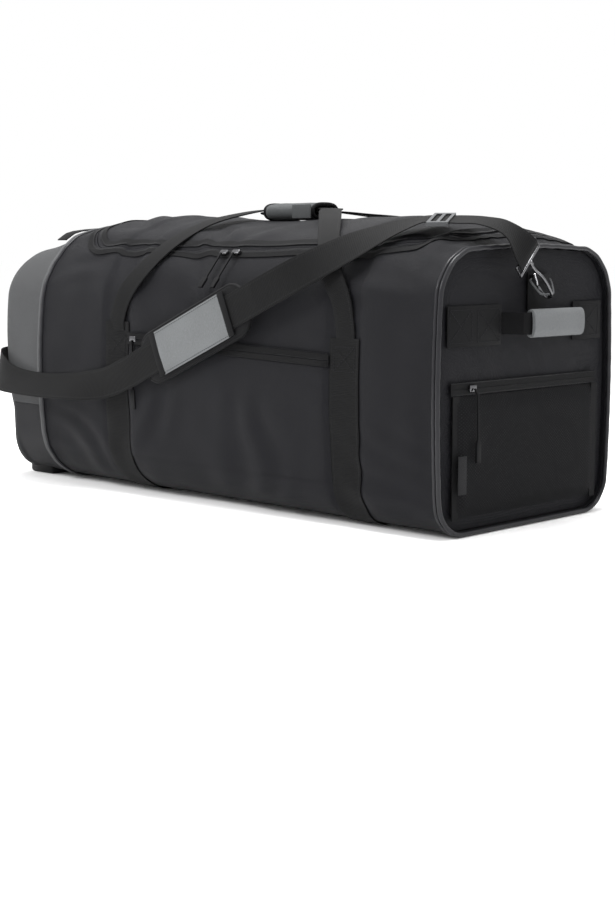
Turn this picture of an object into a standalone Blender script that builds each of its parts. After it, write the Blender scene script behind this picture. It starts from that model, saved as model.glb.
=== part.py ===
"""Rolling duffel bag. Metres, +Z up. X runs along the bag from the wheel end (-X) to the pocket end (+X).

The front, with the zipped pocket, faces -Y. The origin is on the underside, on the ground.
"""

from math import atan2, cos, pi, radians, sin, sqrt

import bmesh
import bpy
from mathutils import Vector

# Driving dimensions of the packed bag.
WIDTH = 0.381
HEIGHT = 0.381
X_END = 0.4515        # pocket end of the sleeve
X_SEAM = -0.388       # wheel end of the sleeve
X_WHEEL = -0.505      # flat end of the wheel-end cap
FLOOR = 0.0048        # underside of the sleeve, above the bottom panel and the webbing
WALL = 0.004          # padded cloth
GAP = 0.0004          # clearance between touching pieces
WEB_T = 0.0014        # webbing thickness
WEB_W = 0.054         # body webbing width
STRAP_W = 0.050       # shoulder strap width
HANDLE_W = 0.034      # carry handle width

# How far the packing lifts the top above the side seams, from the wheel end to the pocket end.
TOP_RISE = (
    (X_WHEEL, 0.0),
    (-0.440, 0.018),
    (X_SEAM, 0.046),
    (-0.330, 0.056),
    (-0.220, 0.058),
    (-0.100, 0.051),
    (0.012, 0.048),
    (0.120, 0.050),
    (0.220, 0.052),
    (0.320, 0.050),
    (0.380, 0.042),
    (0.420, 0.028),
    (X_END, 0.006),
)
SIDE_SWELL = (0.008, 0.018)     # how far the sides bulge at the pocket end and at the wheel end's seam
SIDE_SWELL_END = 0.004          # and at the flat end of the cap

# The lid, cut by a U-shaped zip with its hinge along the back.
LID_X = (-0.350, 0.418)
LID_Y = (-0.160, 0.150)
LID_R = 0.085
LID_SLIT = 0.0008
ZIP_W = 0.0055
ZIP_T = 0.0010
SLIDER_X = (("left", 0.018), ("right", 0.044))

# The cap on the wheel end, in two parts that meet at a seam.
CAP_SEAM = 0.127
CAP_EDGE = X_SEAM - 0.0080
CAP_ROUND = 0.030      # rounding of the cap's sides and top into its end
CAP_UNDER = 0.014      # rounding of its underside into its end
CAP_SQUARE = 0.044     # how much squarer the lower corners are at the end
CAP_BULGE = 0.015      # how far the packed upper part stands out

# Webbing that runs round the bag, and the carry handles that continue it.
WEB_X = (-0.192, 0.291)
WEB_TOP = 0.274
WEB_OUT = 0.0010                    # clearance between the webbing and the cloth
HANDLE_PIVOT = (0.2015, 0.2765)     # distance of the pivot from the middle plane, and its height
WRAP_X = 0.012
WRAP_Z = 0.4442
WRAP_L = 0.104

# Wheels and their moulded housings.
WHEEL_R = 0.027
WHEEL_W = 0.022
WHEEL_Y = 0.124
WHEEL_X = X_WHEEL + 0.011
WHEEL_Z = 0.0276
AXLE_R = 0.0029
HOUSING_W = 0.050
HOUSING_H = 0.062
HOUSING_X = WHEEL_X + 0.052
RIVET_X = HOUSING_X - 0.008

# The front pocket and its zip.
POCKET_LOW = 0.062
FRONT_ZIP_Z = 0.242      # at the middle of the bag
ZIP_SLOPE = -0.035       # the pocket zip falls a little towards the pocket end
FRONT_SLIDER_X = -0.150

# The pocket end: its panel, mesh pocket, grab handle and anchors.
PANEL_X = X_END - 0.0008
END_ZIP_Z = 0.201
END_SLIDER_Y = -0.124
GRIP_X = 0.4830
GRIP_Z = 0.2860
ANCHOR_Z = (0.2570, 0.3120)

# Rings on the two ends, each hanging from a webbing tab, with the way its snap hook points.
RING_DROP = 0.027
RING_TILT = radians(32)
ENDS = {
    "pocket_end": {"side": 1, "face": PANEL_X + GAP, "y": 0.022, "z": 0.347, "way": (0.05, -0.71, 0.70)},
    "wheel_end": {"side": -1, "face": X_WHEEL - 0.0165, "y": 0.0, "z": 0.305, "way": (-0.05, -0.78, -0.62)},
}

# The straight parts of the shoulder strap: under its buckle, and along its pad.
ADJUST = (Vector((0.4080, -0.0960, 0.4260)), Vector((0.3620, -0.1210, 0.4260)))
PAD_START = Vector((0.148, -0.2235, 0.3220))
PAD_END = Vector((-0.140, -0.2235, 0.1980))
PAD_HALF = (0.128, 0.040)
STRAP_PIVOT = (0.0, 0.003, 0.335)

BLACK = (0.017, 0.017, 0.020)
WEB_BLACK = (0.012, 0.012, 0.012)
TAPE_BLACK = (0.020, 0.020, 0.022)
GRAY = (0.090, 0.092, 0.094)
PATCH_GRAY = (0.230, 0.235, 0.240)
PIPING_GRAY = (0.170, 0.172, 0.175)
GUNMETAL = (0.110, 0.110, 0.115)
SILVER = (0.620, 0.620, 0.640)

materials = {}


def material(name, colour, roughness, metallic=0.0):
    if name not in materials:
        made = bpy.data.materials.new(name)
        made.use_nodes = True
        shader = made.node_tree.nodes["Principled BSDF"]
        shader.inputs["Base Color"].default_value = (*colour, 1.0)
        shader.inputs["Roughness"].default_value = roughness
        shader.inputs["Metallic"].default_value = metallic
        materials[name] = made
    return materials[name]


def clear_scene():
    for obj in list(bpy.data.objects):
        bpy.data.objects.remove(obj, do_unlink=True)


def add_object(name, bm, finish, origin=(0, 0, 0)):
    """Turn a bmesh in world coordinates into an object whose origin is at the given point."""
    bmesh.ops.recalc_face_normals(bm, faces=bm.faces)
    bmesh.ops.translate(bm, verts=bm.verts, vec=-Vector(origin))
    mesh = bpy.data.meshes.new(name)
    bm.to_mesh(mesh)
    bm.free()
    obj = bpy.data.objects.new(name, mesh)
    obj.location = origin
    mesh.materials.append(finish)
    bpy.context.scene.collection.objects.link(obj)
    return obj


def loft_mesh(rings, joined=False):
    """Faces between rings of equal length. The ends are capped unless the last ring joins the first."""
    bm = bmesh.new()
    loops = [[bm.verts.new(p) for p in ring] for ring in rings]
    pairs = list(zip(loops, loops[1:]))
    if joined:
        pairs.append((loops[-1], loops[0]))
    for first, second in pairs:
        for i in range(len(first)):
            j = (i + 1) % len(first)
            bm.faces.new((first[i], first[j], second[j], second[i]))
    if not joined:
        bm.faces.new(loops[0][::-1])
        bm.faces.new(loops[-1])
    return bm


def loft(name, rings, finish, joined=False, origin=(0, 0, 0)):
    return add_object(name, loft_mesh(rings, joined), finish, origin)


def smooth_path(points, steps):
    """Points on a smooth curve through the given points, each with its own extra vector."""
    out = []
    for i in range(len(points) - 1):
        around = [points[max(i - 1, 0)], points[i], points[i + 1], points[min(i + 2, len(points) - 1)]]
        for k in range(steps):
            t = k / steps
            out.append(tuple(catmull([Vector(p[c]) for p in around], t) for c in range(len(points[0]))))
    out.append(tuple(Vector(v) for v in points[-1]))
    return out


def catmull(p, t):
    return 0.5 * (
        2 * p[1]
        + (p[2] - p[0]) * t
        + (2 * p[0] - 5 * p[1] + 4 * p[2] - p[3]) * t**2
        + (3 * p[1] - p[0] - 3 * p[2] + p[3]) * t**3
    )


def band_rings(stations, width, thickness):
    """Rectangular rings along (point, outward normal) stations. The point is on the inner face."""
    rings = []
    for i, (point, normal) in enumerate(stations):
        ahead = stations[min(i + 1, len(stations) - 1)][0] - stations[max(i - 1, 0)][0]
        side = ahead.normalized().cross(normal).normalized() * width / 2
        out = side.cross(ahead).normalized() * thickness
        rings.append([point - side, point + side, point + side + out, point - side + out])
    return rings


def band(name, points, width, thickness, finish, steps=1, origin=(0, 0, 0)):
    stations = smooth_path(points, steps) if steps > 1 else [tuple(map(Vector, p)) for p in points]
    return loft(name, band_rings(stations, width, thickness), finish, origin=origin)


def tube_rings(path, radius, sides, closed):
    rings = []
    count = len(path)
    for i, point in enumerate(path):
        before = path[(i - 1) % count] if closed else path[max(i - 1, 0)]
        after = path[(i + 1) % count] if closed else path[min(i + 1, count - 1)]
        along = (after - before).normalized()
        if i == 0:
            across = along.orthogonal().normalized()
        else:
            across = (across - along * across.dot(along)).normalized()
        up = along.cross(across)
        turn = [2 * pi * k / sides for k in range(sides)]
        rings.append([point + (across * cos(a) + up * sin(a)) * radius for a in turn])
    return rings


def ring_tube_mesh(path, axis, radius, sides):
    """A closed tube along a flat loop whose plane has the given normal, so its seam lines up."""
    rings = []
    count = len(path)
    for i, point in enumerate(path):
        along = (path[(i + 1) % count] - path[(i - 1) % count]).normalized()
        across = Vector(axis)
        up = along.cross(across)
        turn = [2 * pi * (k + 0.5) / sides for k in range(sides)]
        rings.append([point + (across * cos(a) + up * sin(a)) * radius for a in turn])
    return loft_mesh(rings, joined=True)


def box_mesh(low, high, bevel=0.0, segments=1):
    bm = bmesh.new()
    bmesh.ops.create_cube(bm, size=1.0)
    size = [h - l for l, h in zip(low, high)]
    middle = [(h + l) / 2 for l, h in zip(low, high)]
    bmesh.ops.scale(bm, verts=bm.verts, vec=size)
    bmesh.ops.translate(bm, verts=bm.verts, vec=middle)
    if bevel:
        bmesh.ops.bevel(bm, geom=bm.edges[:], offset=bevel, segments=segments, affect="EDGES", profile=0.5)
    return bm


def box(name, low, high, finish, bevel=0.0, segments=1, origin=(0, 0, 0)):
    return add_object(name, box_mesh(low, high, bevel, segments), finish, origin)


def turned_mesh(profile, centre, sides):
    """A ring turned about an axis along Y. The profile is a closed loop of (radius, y)."""
    rings = []
    for k in range(sides):
        a = 2 * pi * k / sides
        rings.append([Vector((r * cos(a), y, r * sin(a))) + Vector(centre) for r, y in profile])
    return loft_mesh(rings, joined=True)


def rod_mesh(start, end, radius, sides=12):
    return loft_mesh(tube_rings([Vector(start), Vector(end)], radius, sides, False))


def combine(obj, cutter, operation="DIFFERENCE"):
    """Boolean with a helper that stays hidden."""
    cutter.hide_render = True
    cutter.display_type = "WIRE"
    step = obj.modifiers.new(operation.lower(), "BOOLEAN")
    step.operation = operation
    step.solver = "EXACT"
    step.object = cutter


def helper(name, bm):
    return add_object(name, bm, material("helper", (1, 0, 0), 1.0))


# The bag's cross-section.


def crown(x):
    """The lift of the top at x, straight between its stations."""
    for (x0, low), (x1, high) in zip(TOP_RISE, TOP_RISE[1:]):
        if x <= x1:
            return low + (high - low) * max((x - x0) / (x1 - x0), 0.0)
    return TOP_RISE[-1][1]


def along_body(x):
    """0 at the pocket end of the sleeve, 1 at its wheel end."""
    return min(max((X_END - x) / (X_END - X_SEAM), 0.0), 1.0)


def corner_radii(x):
    t = along_body(x)
    return 0.062 + 0.014 * t, 0.048 + 0.030 * t


def side_swell(x):
    if x < X_SEAM:
        t = min((X_SEAM - x) / (X_SEAM - X_WHEEL), 1.0)
        return SIDE_SWELL[1] + (SIDE_SWELL_END - SIDE_SWELL[1]) * t
    return SIDE_SWELL[0] + (SIDE_SWELL[1] - SIDE_SWELL[0]) * along_body(x)


def swell(x, y, z):
    """Move a point of the plain section to where the packing pushes it."""
    half = WIDTH / 2
    middle = HEIGHT / 2
    if z > middle:
        z += crown(x) * cos(min(abs(y) / half, 1.0) * pi / 2) ** 0.8 * (z - middle) / middle
    side = side_swell(x) * sin(pi * min(max(z / HEIGHT, 0), 1))
    return y * (1 + side / half), z


def section(x, out=0.0, bottom_out=None, bottom_r=None):
    """The outline at x as (y, z) points, moved outwards by out, or by bottom_out on its underside."""
    top_r = corner_radii(x)[0] + out
    if bottom_r is None:
        bottom_r = corner_radii(x)[1] + out
    half = WIDTH / 2 + out
    top = HEIGHT + out
    bottom = FLOOR - (out if bottom_out is None else bottom_out)
    corners = (
        (half - bottom_r, bottom + bottom_r, bottom_r, -90, 3),
        (half - top_r, top - top_r, top_r, 0, 8),
        (top_r - half, top - top_r, top_r, 90, 3),
        (bottom_r - half, bottom + bottom_r, bottom_r, 180, 2),
    )
    points = []
    for i, (y, z, r, start, pieces) in enumerate(corners):
        arc = [radians(start + 15 * k) for k in range(7)]
        points += [(y + r * cos(a), z + r * sin(a)) for a in arc]
        nxt = corners[(i + 1) % 4]
        ny = nxt[0] + nxt[2] * cos(radians(nxt[3]))
        nz = nxt[1] + nxt[2] * sin(radians(nxt[3]))
        y, z = points[-1]
        points += [(y + (ny - y) * k / pieces, z + (nz - z) * k / pieces) for k in range(1, pieces)]
    return points


def body_ring(x, out=0.0):
    return [Vector((x, *swell(x, y, z))) for y, z in section(x, out)]


def top_z(x, y):
    """Height of the outside of the sleeve's top or corner."""
    r = corner_radii(x)[0]
    over = abs(y) - (WIDTH / 2 - r)
    z = HEIGHT if over <= 0 else HEIGHT - r + sqrt(max(r * r - over * over, 0.0))
    return swell(x, y, z)[1]


def top_normal(x, y):
    d = 0.002
    slope_x = (top_z(x + d, y) - top_z(x - d, y)) / (2 * d)
    slope_y = (top_z(x, y + d) - top_z(x, y - d)) / (2 * d)
    return Vector((-slope_x, -slope_y, 1)).normalized()


def hinge_line():
    """A point of the lid's hinge axis: just above the cloth along the whole of it."""
    return (0.0, LID_Y[1] - LID_SLIT, max(top_z(x, LID_Y[1]) for x, _ in TOP_RISE) + 0.0003)


def sleeve_mesh():
    stations = [x for x, _ in TOP_RISE if x >= X_SEAM]
    outer = [body_ring(x) for x in stations]
    inner = [body_ring(x, -WALL) for x in reversed(stations)]
    return loft_mesh(outer + inner, joined=True)


def lid_outline(grow):
    """The U of the zip, from its back end at the pocket end round the front to the other back end."""
    x0, x1 = LID_X[0] - grow, LID_X[1] + grow
    y0 = LID_Y[0] - grow
    points = [(x1, LID_Y[1])]
    for middle, start in ((x1 - LID_R, 0), (x0 + LID_R, -90)):
        for k in range(7):
            a = radians(start - 15 * k)
            points.append((middle + LID_R * cos(a), y0 + LID_R + LID_R * sin(a)))
    points.append((x0, LID_Y[1]))
    return points


def lid_cutter(name, grow, back):
    outline = lid_outline(grow)
    outline[0] = (outline[0][0], back)
    outline[-1] = (outline[-1][0], back)
    rings = [[Vector((x, y, z)) for x, y in outline] for z in (0.27, 0.50)]
    return helper(name, loft_mesh(rings))


def make_sleeve_and_lid():
    shell = add_object("main_shell", sleeve_mesh(), material("ripstop_black", BLACK, 0.72))
    combine(shell, lid_cutter("lid_opening", 0.0, LID_Y[1]))
    lid = add_object("lid_flap", sleeve_mesh(), material("lid_black", BLACK, 0.72), hinge_line())
    combine(lid, lid_cutter("lid_shape", -LID_SLIT, LID_Y[1] - LID_SLIT), "INTERSECT")


def zip_band(name, grow, finish, origin=(0, 0, 0)):
    """One side of the lid's zip, lying on the cloth just outside or just inside the slit."""
    outline = lid_outline(grow)
    outline[0] = (outline[0][0], LID_Y[1] - 0.006)
    outline[-1] = (outline[-1][0], LID_Y[1] - 0.006)
    stations = []
    for (x0, y0), (x1, y1) in zip(outline, outline[1:]):
        pieces = max(1, round(sqrt(((x1 - x0) / 3) ** 2 + (y1 - y0) ** 2) / 0.012))
        for k in range(pieces):
            stations.append((x0 + (x1 - x0) * k / pieces, y0 + (y1 - y0) * k / pieces))
    stations.append(outline[-1])
    placed = []
    for x, y in stations:
        normal = top_normal(x, y)
        placed.append((Vector((x, y, top_z(x, y))) + normal * 0.0009, normal))
    return loft(name, band_rings(placed, ZIP_W, ZIP_T), finish, origin=origin)


def make_zips():
    zipper = material("zip_tape", TAPE_BLACK, 0.5)
    zip_band("main_zip", 0.0040, zipper)
    zip_band("lid_zip", -0.0048, zipper, hinge_line())


def make_ends():
    """The pocket end's panel, the wheel end's two-part cap, and the stiffeners behind them."""
    cloth = material("end_cloth", BLACK, 0.72)
    rings = [body_ring(x, -WALL - 0.0006) for x in (X_END - 0.0045, X_END - 0.0008)]
    loft("mesh_end_panel", rings, cloth)
    rings = [body_ring(x, -WALL - 0.0012) for x in (X_SEAM + 0.004, X_SEAM + 0.0065)]
    loft("end_board", rings, material("board", (0.05, 0.05, 0.05), 0.8))
    cap_upper = add_object("wheel_end_cap", cap_mesh(), material("melange_gray", GRAY, 0.85))
    cap_lower = add_object("wheel_end_base", cap_mesh(), material("base_cloth", BLACK, 0.7))
    combine(cap_upper, helper("below_seam", box_mesh((-0.6, -0.3, -0.1), (-0.3, 0.3, CAP_SEAM + 0.0003))))
    combine(cap_lower, helper("above_seam", box_mesh((-0.6, -0.3, CAP_SEAM - 0.0003), (-0.3, 0.3, 0.6))))
    for side in (-1, 1):
        low = (-0.6, side * WHEEL_Y - HOUSING_W / 2 - GAP, -0.1)
        high = (HOUSING_X + GAP, side * WHEEL_Y + HOUSING_W / 2 + GAP, HOUSING_H + GAP)
        combine(cap_lower, helper("notch", box_mesh(low, high)))


def cap_rings(out, end):
    """Rings of the cap's skin from its open edge to the middle of its end."""
    rings = [body_ring(CAP_EDGE, out), body_ring(-0.440, out)]
    for k in range(6):
        a = radians(18 * k)
        x = end + CAP_ROUND * (1 - sin(a))
        turned_in = 1 - cos(a)
        bottom_r = corner_radii(X_SEAM)[1] + out - CAP_SQUARE * k / 5
        outline = section(X_SEAM, out - CAP_ROUND * turned_in, out - CAP_UNDER * turned_in, bottom_r)
        rings.append([Vector((x, *swell(x, y, z))) for y, z in outline])
    flat = rings[-1]
    middle = HEIGHT / 2
    for scale in (0.62, 0.25):
        rings.append([Vector((p.x, p.y * scale, middle + (p.z - middle) * scale)) for p in flat])
    for ring in rings[2:]:
        for p in ring:
            p.x -= end_bulge(p)
    return rings


def end_bulge(p):
    """The gray upper part of the end is packed fuller than the stiff lower part."""
    height = min(max((p.z - 0.12) / 0.25, 0.0), 1.0)
    near_end = min(max((-0.440 - p.x) / 0.05, 0.0), 1.0)
    return CAP_BULGE * sin(pi * height) ** 0.7 * near_end


def cap_mesh():
    outer = cap_rings(0.0, X_WHEEL)
    inner = cap_rings(-WALL, X_WHEEL + WALL)
    return loft_mesh(outer[::-1] + inner)


def make_piping():
    black = material("piping_black", (0.02, 0.02, 0.02), 0.35)
    gray = material("piping_gray", PIPING_GRAY, 0.6)
    mesh_loop = [p + Vector((0.0046, 0, 0)) for p in body_ring(X_END, -0.0005)]
    wheel_loop = [Vector((X_SEAM - 0.0040, p.y, p.z)) for p in body_ring(X_SEAM, 0.0002)]
    add_object("mesh_end_piping", ring_tube_mesh(mesh_loop, (1, 0, 0), 0.0034, 6), black)
    add_object("wheel_end_piping", ring_tube_mesh(wheel_loop, (1, 0, 0), 0.0034, 6), gray)


# Base and wheels.

def make_base():
    panel = material("base_panel", (0.015, 0.015, 0.016), 0.6)
    box("bottom_panel", (-0.378, -0.106, 0.0), (0.440, 0.106, 0.0019), panel)
    board = material("board", (0.05, 0.05, 0.05), 0.8)
    box("base_board", (-0.374, -0.104, FLOOR + WALL + 0.0006), (0.438, 0.104, FLOOR + WALL + 0.003), board)


def make_wheels():
    plastic = material("wheel_plastic", (0.015, 0.015, 0.016), 0.4)
    rubber = material("wheel_rubber", (0.012, 0.012, 0.012), 0.6)
    half = WHEEL_W / 2
    for side, y in (("front", -WHEEL_Y), ("back", WHEEL_Y)):
        centre = (WHEEL_X, y, WHEEL_Z)
        housing = housing_block(centre)
        housing.name = "wheel_housing_" + side
        housing.data.materials[0] = plastic
        tyre = [(0.0172, -half), (0.0240, -half), (0.0262, -half * 0.55), (WHEEL_R, 0.0)]
        tyre += [(r, -v) for r, v in reversed(tyre[:3])]
        add_object("tyre_" + side, turned_mesh(tyre, centre, 24), rubber, centre)
        hub = [(0.0032, -half - 0.0004), (0.0080, -half - 0.0004)]
        hub += [(0.0100, -half + 0.004), (0.0168, -half + 0.002)]
        hub += [(r, -v) for r, v in reversed(hub)]
        add_object("hub_" + side, turned_mesh(hub, centre, 16), plastic, centre)
        steel = material("steel", SILVER, 0.3, 1.0)
        reach = HOUSING_W / 2 - 0.003
        axle = rod_mesh((WHEEL_X, y - reach, WHEEL_Z), (WHEEL_X, y + reach, WHEEL_Z), AXLE_R)
        add_object("axle_" + side, axle, steel)
        rivet = rod_mesh((RIVET_X, y, -0.0), (RIVET_X, y, 0.010), 0.0035, 10)
        add_object("housing_rivet_" + side, rivet, steel)


def housing_block(centre):
    """The moulded wheel housing: a block with a well for the wheel, an axle bore and a rivet hole."""
    x, y, z = centre
    low = (X_WHEEL + 0.0005, y - HOUSING_W / 2, 0.0)
    high = (HOUSING_X, y + HOUSING_W / 2, HOUSING_H)
    block = add_object("block", box_mesh(low, high, 0.006, 2), material("helper", (1, 0, 0), 1.0))
    well = WHEEL_R + 0.004
    half = WHEEL_W / 2 + 0.0014
    combine(block, helper("well", rod_mesh((x, y - half, z), (x, y + half, z), well, 28)))
    combine(block, helper("mouth", box_mesh((x - 0.1, y - half, -0.1), (x, y + half, z + well))))
    combine(block, helper("opening", box_mesh((x - 0.1, y - half, -0.1), (x + well * 0.9, y + half, z))))
    combine(block, helper("bore", rod_mesh((x, y - 0.05, z), (x, y + 0.05, z), AXLE_R + 0.0003, 12)))
    rivet_hole = rod_mesh((RIVET_X, y, -0.05), (RIVET_X, y, 0.0103), 0.0038, 10)
    combine(block, helper("rivet_hole", rivet_hole))
    return block


# Webbing and handles.


def make_webbing():
    """Two webbing straps that run up the front and back and under the bag."""
    web = material("webbing", WEB_BLACK, 0.8)
    for name, x in (("webbing_left", WEB_X[0]), ("webbing_right", WEB_X[1])):
        lower = [p for p in body_ring(x, WEB_OUT) if p.z < WEB_TOP]
        path = sorted(lower, key=angle_round)
        path = [Vector((x, path[0].y, WEB_TOP))] + path + [Vector((x, path[-1].y, WEB_TOP))]
        stations = []
        for i, p in enumerate(path):
            along = path[min(i + 1, len(path) - 1)] - path[max(i - 1, 0)]
            stations.append((p, along.cross(Vector((-1, 0, 0)))))
        loft(name, band_rings(stations, WEB_W, WEB_T), web)


def angle_round(p):
    """Angle of a point round the bag, falling from the front over the underside to the back."""
    return -((atan2(p.z - HEIGHT / 2, p.y) + 1.5 * pi) % (2 * pi))


def web_y(x, z):
    """Distance of the webbing's inner face from the middle plane."""
    return -front_y(x, z, WEB_OUT)


def handle_points(side, drop):
    """The route of a carry handle as (point, outward normal). side is -1 for the front, +1 for the back."""
    z = HANDLE_PIVOT[1] + 0.001
    left, right = WEB_X
    left_y, right_y = web_y(left, z), web_y(right, z)
    top = WRAP_Z + 0.0022 - drop
    route = [
        ((left, left_y, z), (0, 1, 0)),
        ((left + 0.018, left_y, 0.315), (0, 1, 0.1)),
        ((left + 0.050, 0.194, 0.352), (0, 1, 0.5)),
        ((left + 0.080, 0.162, 0.392), (0, 0.75, 0.8)),
        ((left + 0.100, 0.104, 0.4245), (0, 0.4, 1)),
        ((left + 0.118, 0.036, top - 0.0050), (0, 0.1, 1)),
        ((left + 0.138, 0.002, top), (0, 0, 1)),
        ((0.0, 0.0, top), (0, 0, 1)),
        ((0.075, 0.002, top), (0, 0, 1)),
        ((right - 0.178, 0.040, top - 0.0050), (0, 0.1, 1)),
        ((right - 0.118, 0.104, 0.4245), (0, 0.4, 1)),
        ((right - 0.065, 0.162, 0.392), (0, 0.75, 0.8)),
        ((right - 0.028, 0.194, 0.352), (0, 1, 0.4)),
        ((right - 0.008, right_y, 0.315), (0, 1, 0.1)),
        ((right, right_y, z), (0, 1, 0)),
    ]
    return [((x, side * y, z), (0, side * ny, nz)) for (x, y, z), (_, ny, nz) in route]


def make_handles():
    web = material("webbing", WEB_BLACK, 0.8)
    y, z = HANDLE_PIVOT
    band("handle_front", handle_points(-1, 0.0), HANDLE_W, WEB_T, web, 3, (0, -y, z))
    band("handle_back", handle_points(1, 0.0042), HANDLE_W, WEB_T, web, 3, (0, y, z))
    padded = material("wrap_gray", PATCH_GRAY, 0.85)
    stations = [WRAP_X + WRAP_L * t for t in (-0.5, -0.25, 0.0, 0.25, 0.5)]
    outer = [oval(x, 0.0, WRAP_Z, 0.0290, 0.0130) for x in stations]
    inner = [oval(x, 0.0, WRAP_Z, 0.0245, 0.0088) for x in reversed(stations)]
    loft("handle_wrap", outer + inner, padded, True, (0, -y, z))
    low = (WRAP_X + 0.012, -0.0325, 0.4330)
    high = (WRAP_X + 0.052, -0.0295, 0.4550)
    box("wrap_flap", low, high, padded, 0.001, 1, (WRAP_X + 0.032, -0.0310, 0.4545))


def oval(x, y, z, half_y, half_z):
    """A rounded flat ring across the handles, as a superellipse."""
    points = []
    for k in range(16):
        a = 2 * pi * k / 16
        c, s = cos(a), sin(a)
        points.append(Vector((x, y + half_y * abs(c) ** 0.75 * (1 if c > 0 else -1),
                              z + half_z * abs(s) ** 0.75 * (1 if s > 0 else -1))))
    return points


# The front pocket, the sliders and their pulls.

def front_zip_z(x):
    return FRONT_ZIP_Z + ZIP_SLOPE * x


def front_y(x, z, out=0.0):
    return -swell(x, WIDTH / 2, z)[0] - out


def make_front_pocket():
    left = WEB_X[0] + WEB_W / 2 + 0.004
    right = WEB_X[1] - WEB_W / 2 - 0.004
    rings = []
    for k in range(7):
        x = left + (right - left) * k / 6
        top = front_zip_z(x) - 0.010
        heights = [POCKET_LOW + (top - POCKET_LOW) * j / 4 for j in range(5)]
        outer = [Vector((x, front_y(x, z, 0.0020), z)) for z in heights]
        inner = [Vector((x, front_y(x, z, GAP), z)) for z in reversed(heights)]
        rings.append(outer + inner)
    loft("front_pocket", rings, material("pocket_cloth", BLACK, 0.72))
    path = []
    for k in range(9):
        x = left + (right - left) * k / 8
        z = front_zip_z(x)
        path.append((Vector((x, front_y(x, z, GAP), z)), Vector((0, -1, 0))))
    loft("front_zip", band_rings(path, 0.016, 0.0010), material("zip_tape", TAPE_BLACK, 0.5))


def framed(centre, across, out, size):
    """The two ends of a block: its width lies across, its depth out and its height along the third way."""
    across = Vector(across).normalized()
    out = Vector(out).normalized()
    up = across.cross(out)
    rings = []
    for end in (-0.5, 0.5):
        ring = []
        for a, b in ((-0.5, -0.5), (0.5, -0.5), (0.5, 0.5), (-0.5, 0.5)):
            ring.append(Vector(centre) + across * size[0] * end + out * size[1] * a + up * size[2] * b)
        rings.append(ring)
    return rings


def block(name, centre, across, out, size, finish, origin=None):
    return loft(name, framed(centre, across, out, size), finish, origin=origin or centre)


def pull(name, points, across, finish, origin):
    """A moulded pull: a thin cord that ends in a wider grip."""
    half = Vector(across).normalized()
    points = [Vector(p) for p in points]
    stations = []
    count = len(points) - 1
    for i, p in enumerate(points):
        along = (points[min(i + 1, count)] - points[max(i - 1, 0)]).normalized()
        wide = 0.0042 if i >= count - 1 else 0.0016
        deep = 0.0018 if i >= count - 1 else 0.0012
        out = along.cross(half)
        corners = ((-1, -1), (1, -1), (1, 1), (-1, 1))
        stations.append([p + half * wide * a + out * deep * b for a, b in corners])
    return loft(name, stations, finish, origin=origin)


def make_sliders():
    metal = material("slider_metal", GUNMETAL, 0.35, 1.0)
    cord = material("pull_cord", (0.02, 0.02, 0.02), 0.5)
    for name, x in SLIDER_X:
        y = LID_Y[0] - 0.0052
        normal = top_normal(x, y)
        base = Vector((x, y, top_z(x, y))) + normal * 0.0056
        block("main_slider_" + name, base, (1, 0, 0), normal, (0.015, 0.0058, 0.0072), metal)
        top = base + normal * 0.0046 + Vector((0, -0.003, -0.0030))
        tip = Vector((x - 0.012, -0.2085, 0.3300))
        route = [top, top + (tip - top) * 0.3, top + (tip - top) * 0.70, top + (tip - top) * 0.74, tip]
        pull("main_pull_" + name, route, (1, 0, 0), cord, top)
    z = front_zip_z(FRONT_SLIDER_X)
    base = Vector((FRONT_SLIDER_X, front_y(FRONT_SLIDER_X, z, 0.0043), z))
    block("front_slider", base, (1, 0, ZIP_SLOPE), (0, -1, 0), (0.014, 0.0040, 0.009), metal)
    top = base + Vector((0, -0.0034, -0.002))
    route = [top]
    for drop in (0.030, 0.076, 0.080, 0.108):
        z = top.z - drop
        route.append(Vector((top.x, front_y(top.x, z, 0.0043), z)))
    pull("front_pull", route, (1, 0, 0), cord, top)
    base = Vector((PANEL_X + 0.0042, END_SLIDER_Y, END_ZIP_Z))
    block("end_slider", base, (0, 1, 0), (1, 0, 0), (0.014, 0.0044, 0.009), metal)
    top = base + Vector((0.0040, 0, 0))
    reach = ((0, 0), (0.0055, -0.009), (0.0070, -0.068), (0.0070, -0.073), (0.0070, -0.100))
    pull("end_pull", [top + Vector((dx, 0, dz)) for dx, dz in reach], (0, 1, 0), cord, top)


# The pocket end.

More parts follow.
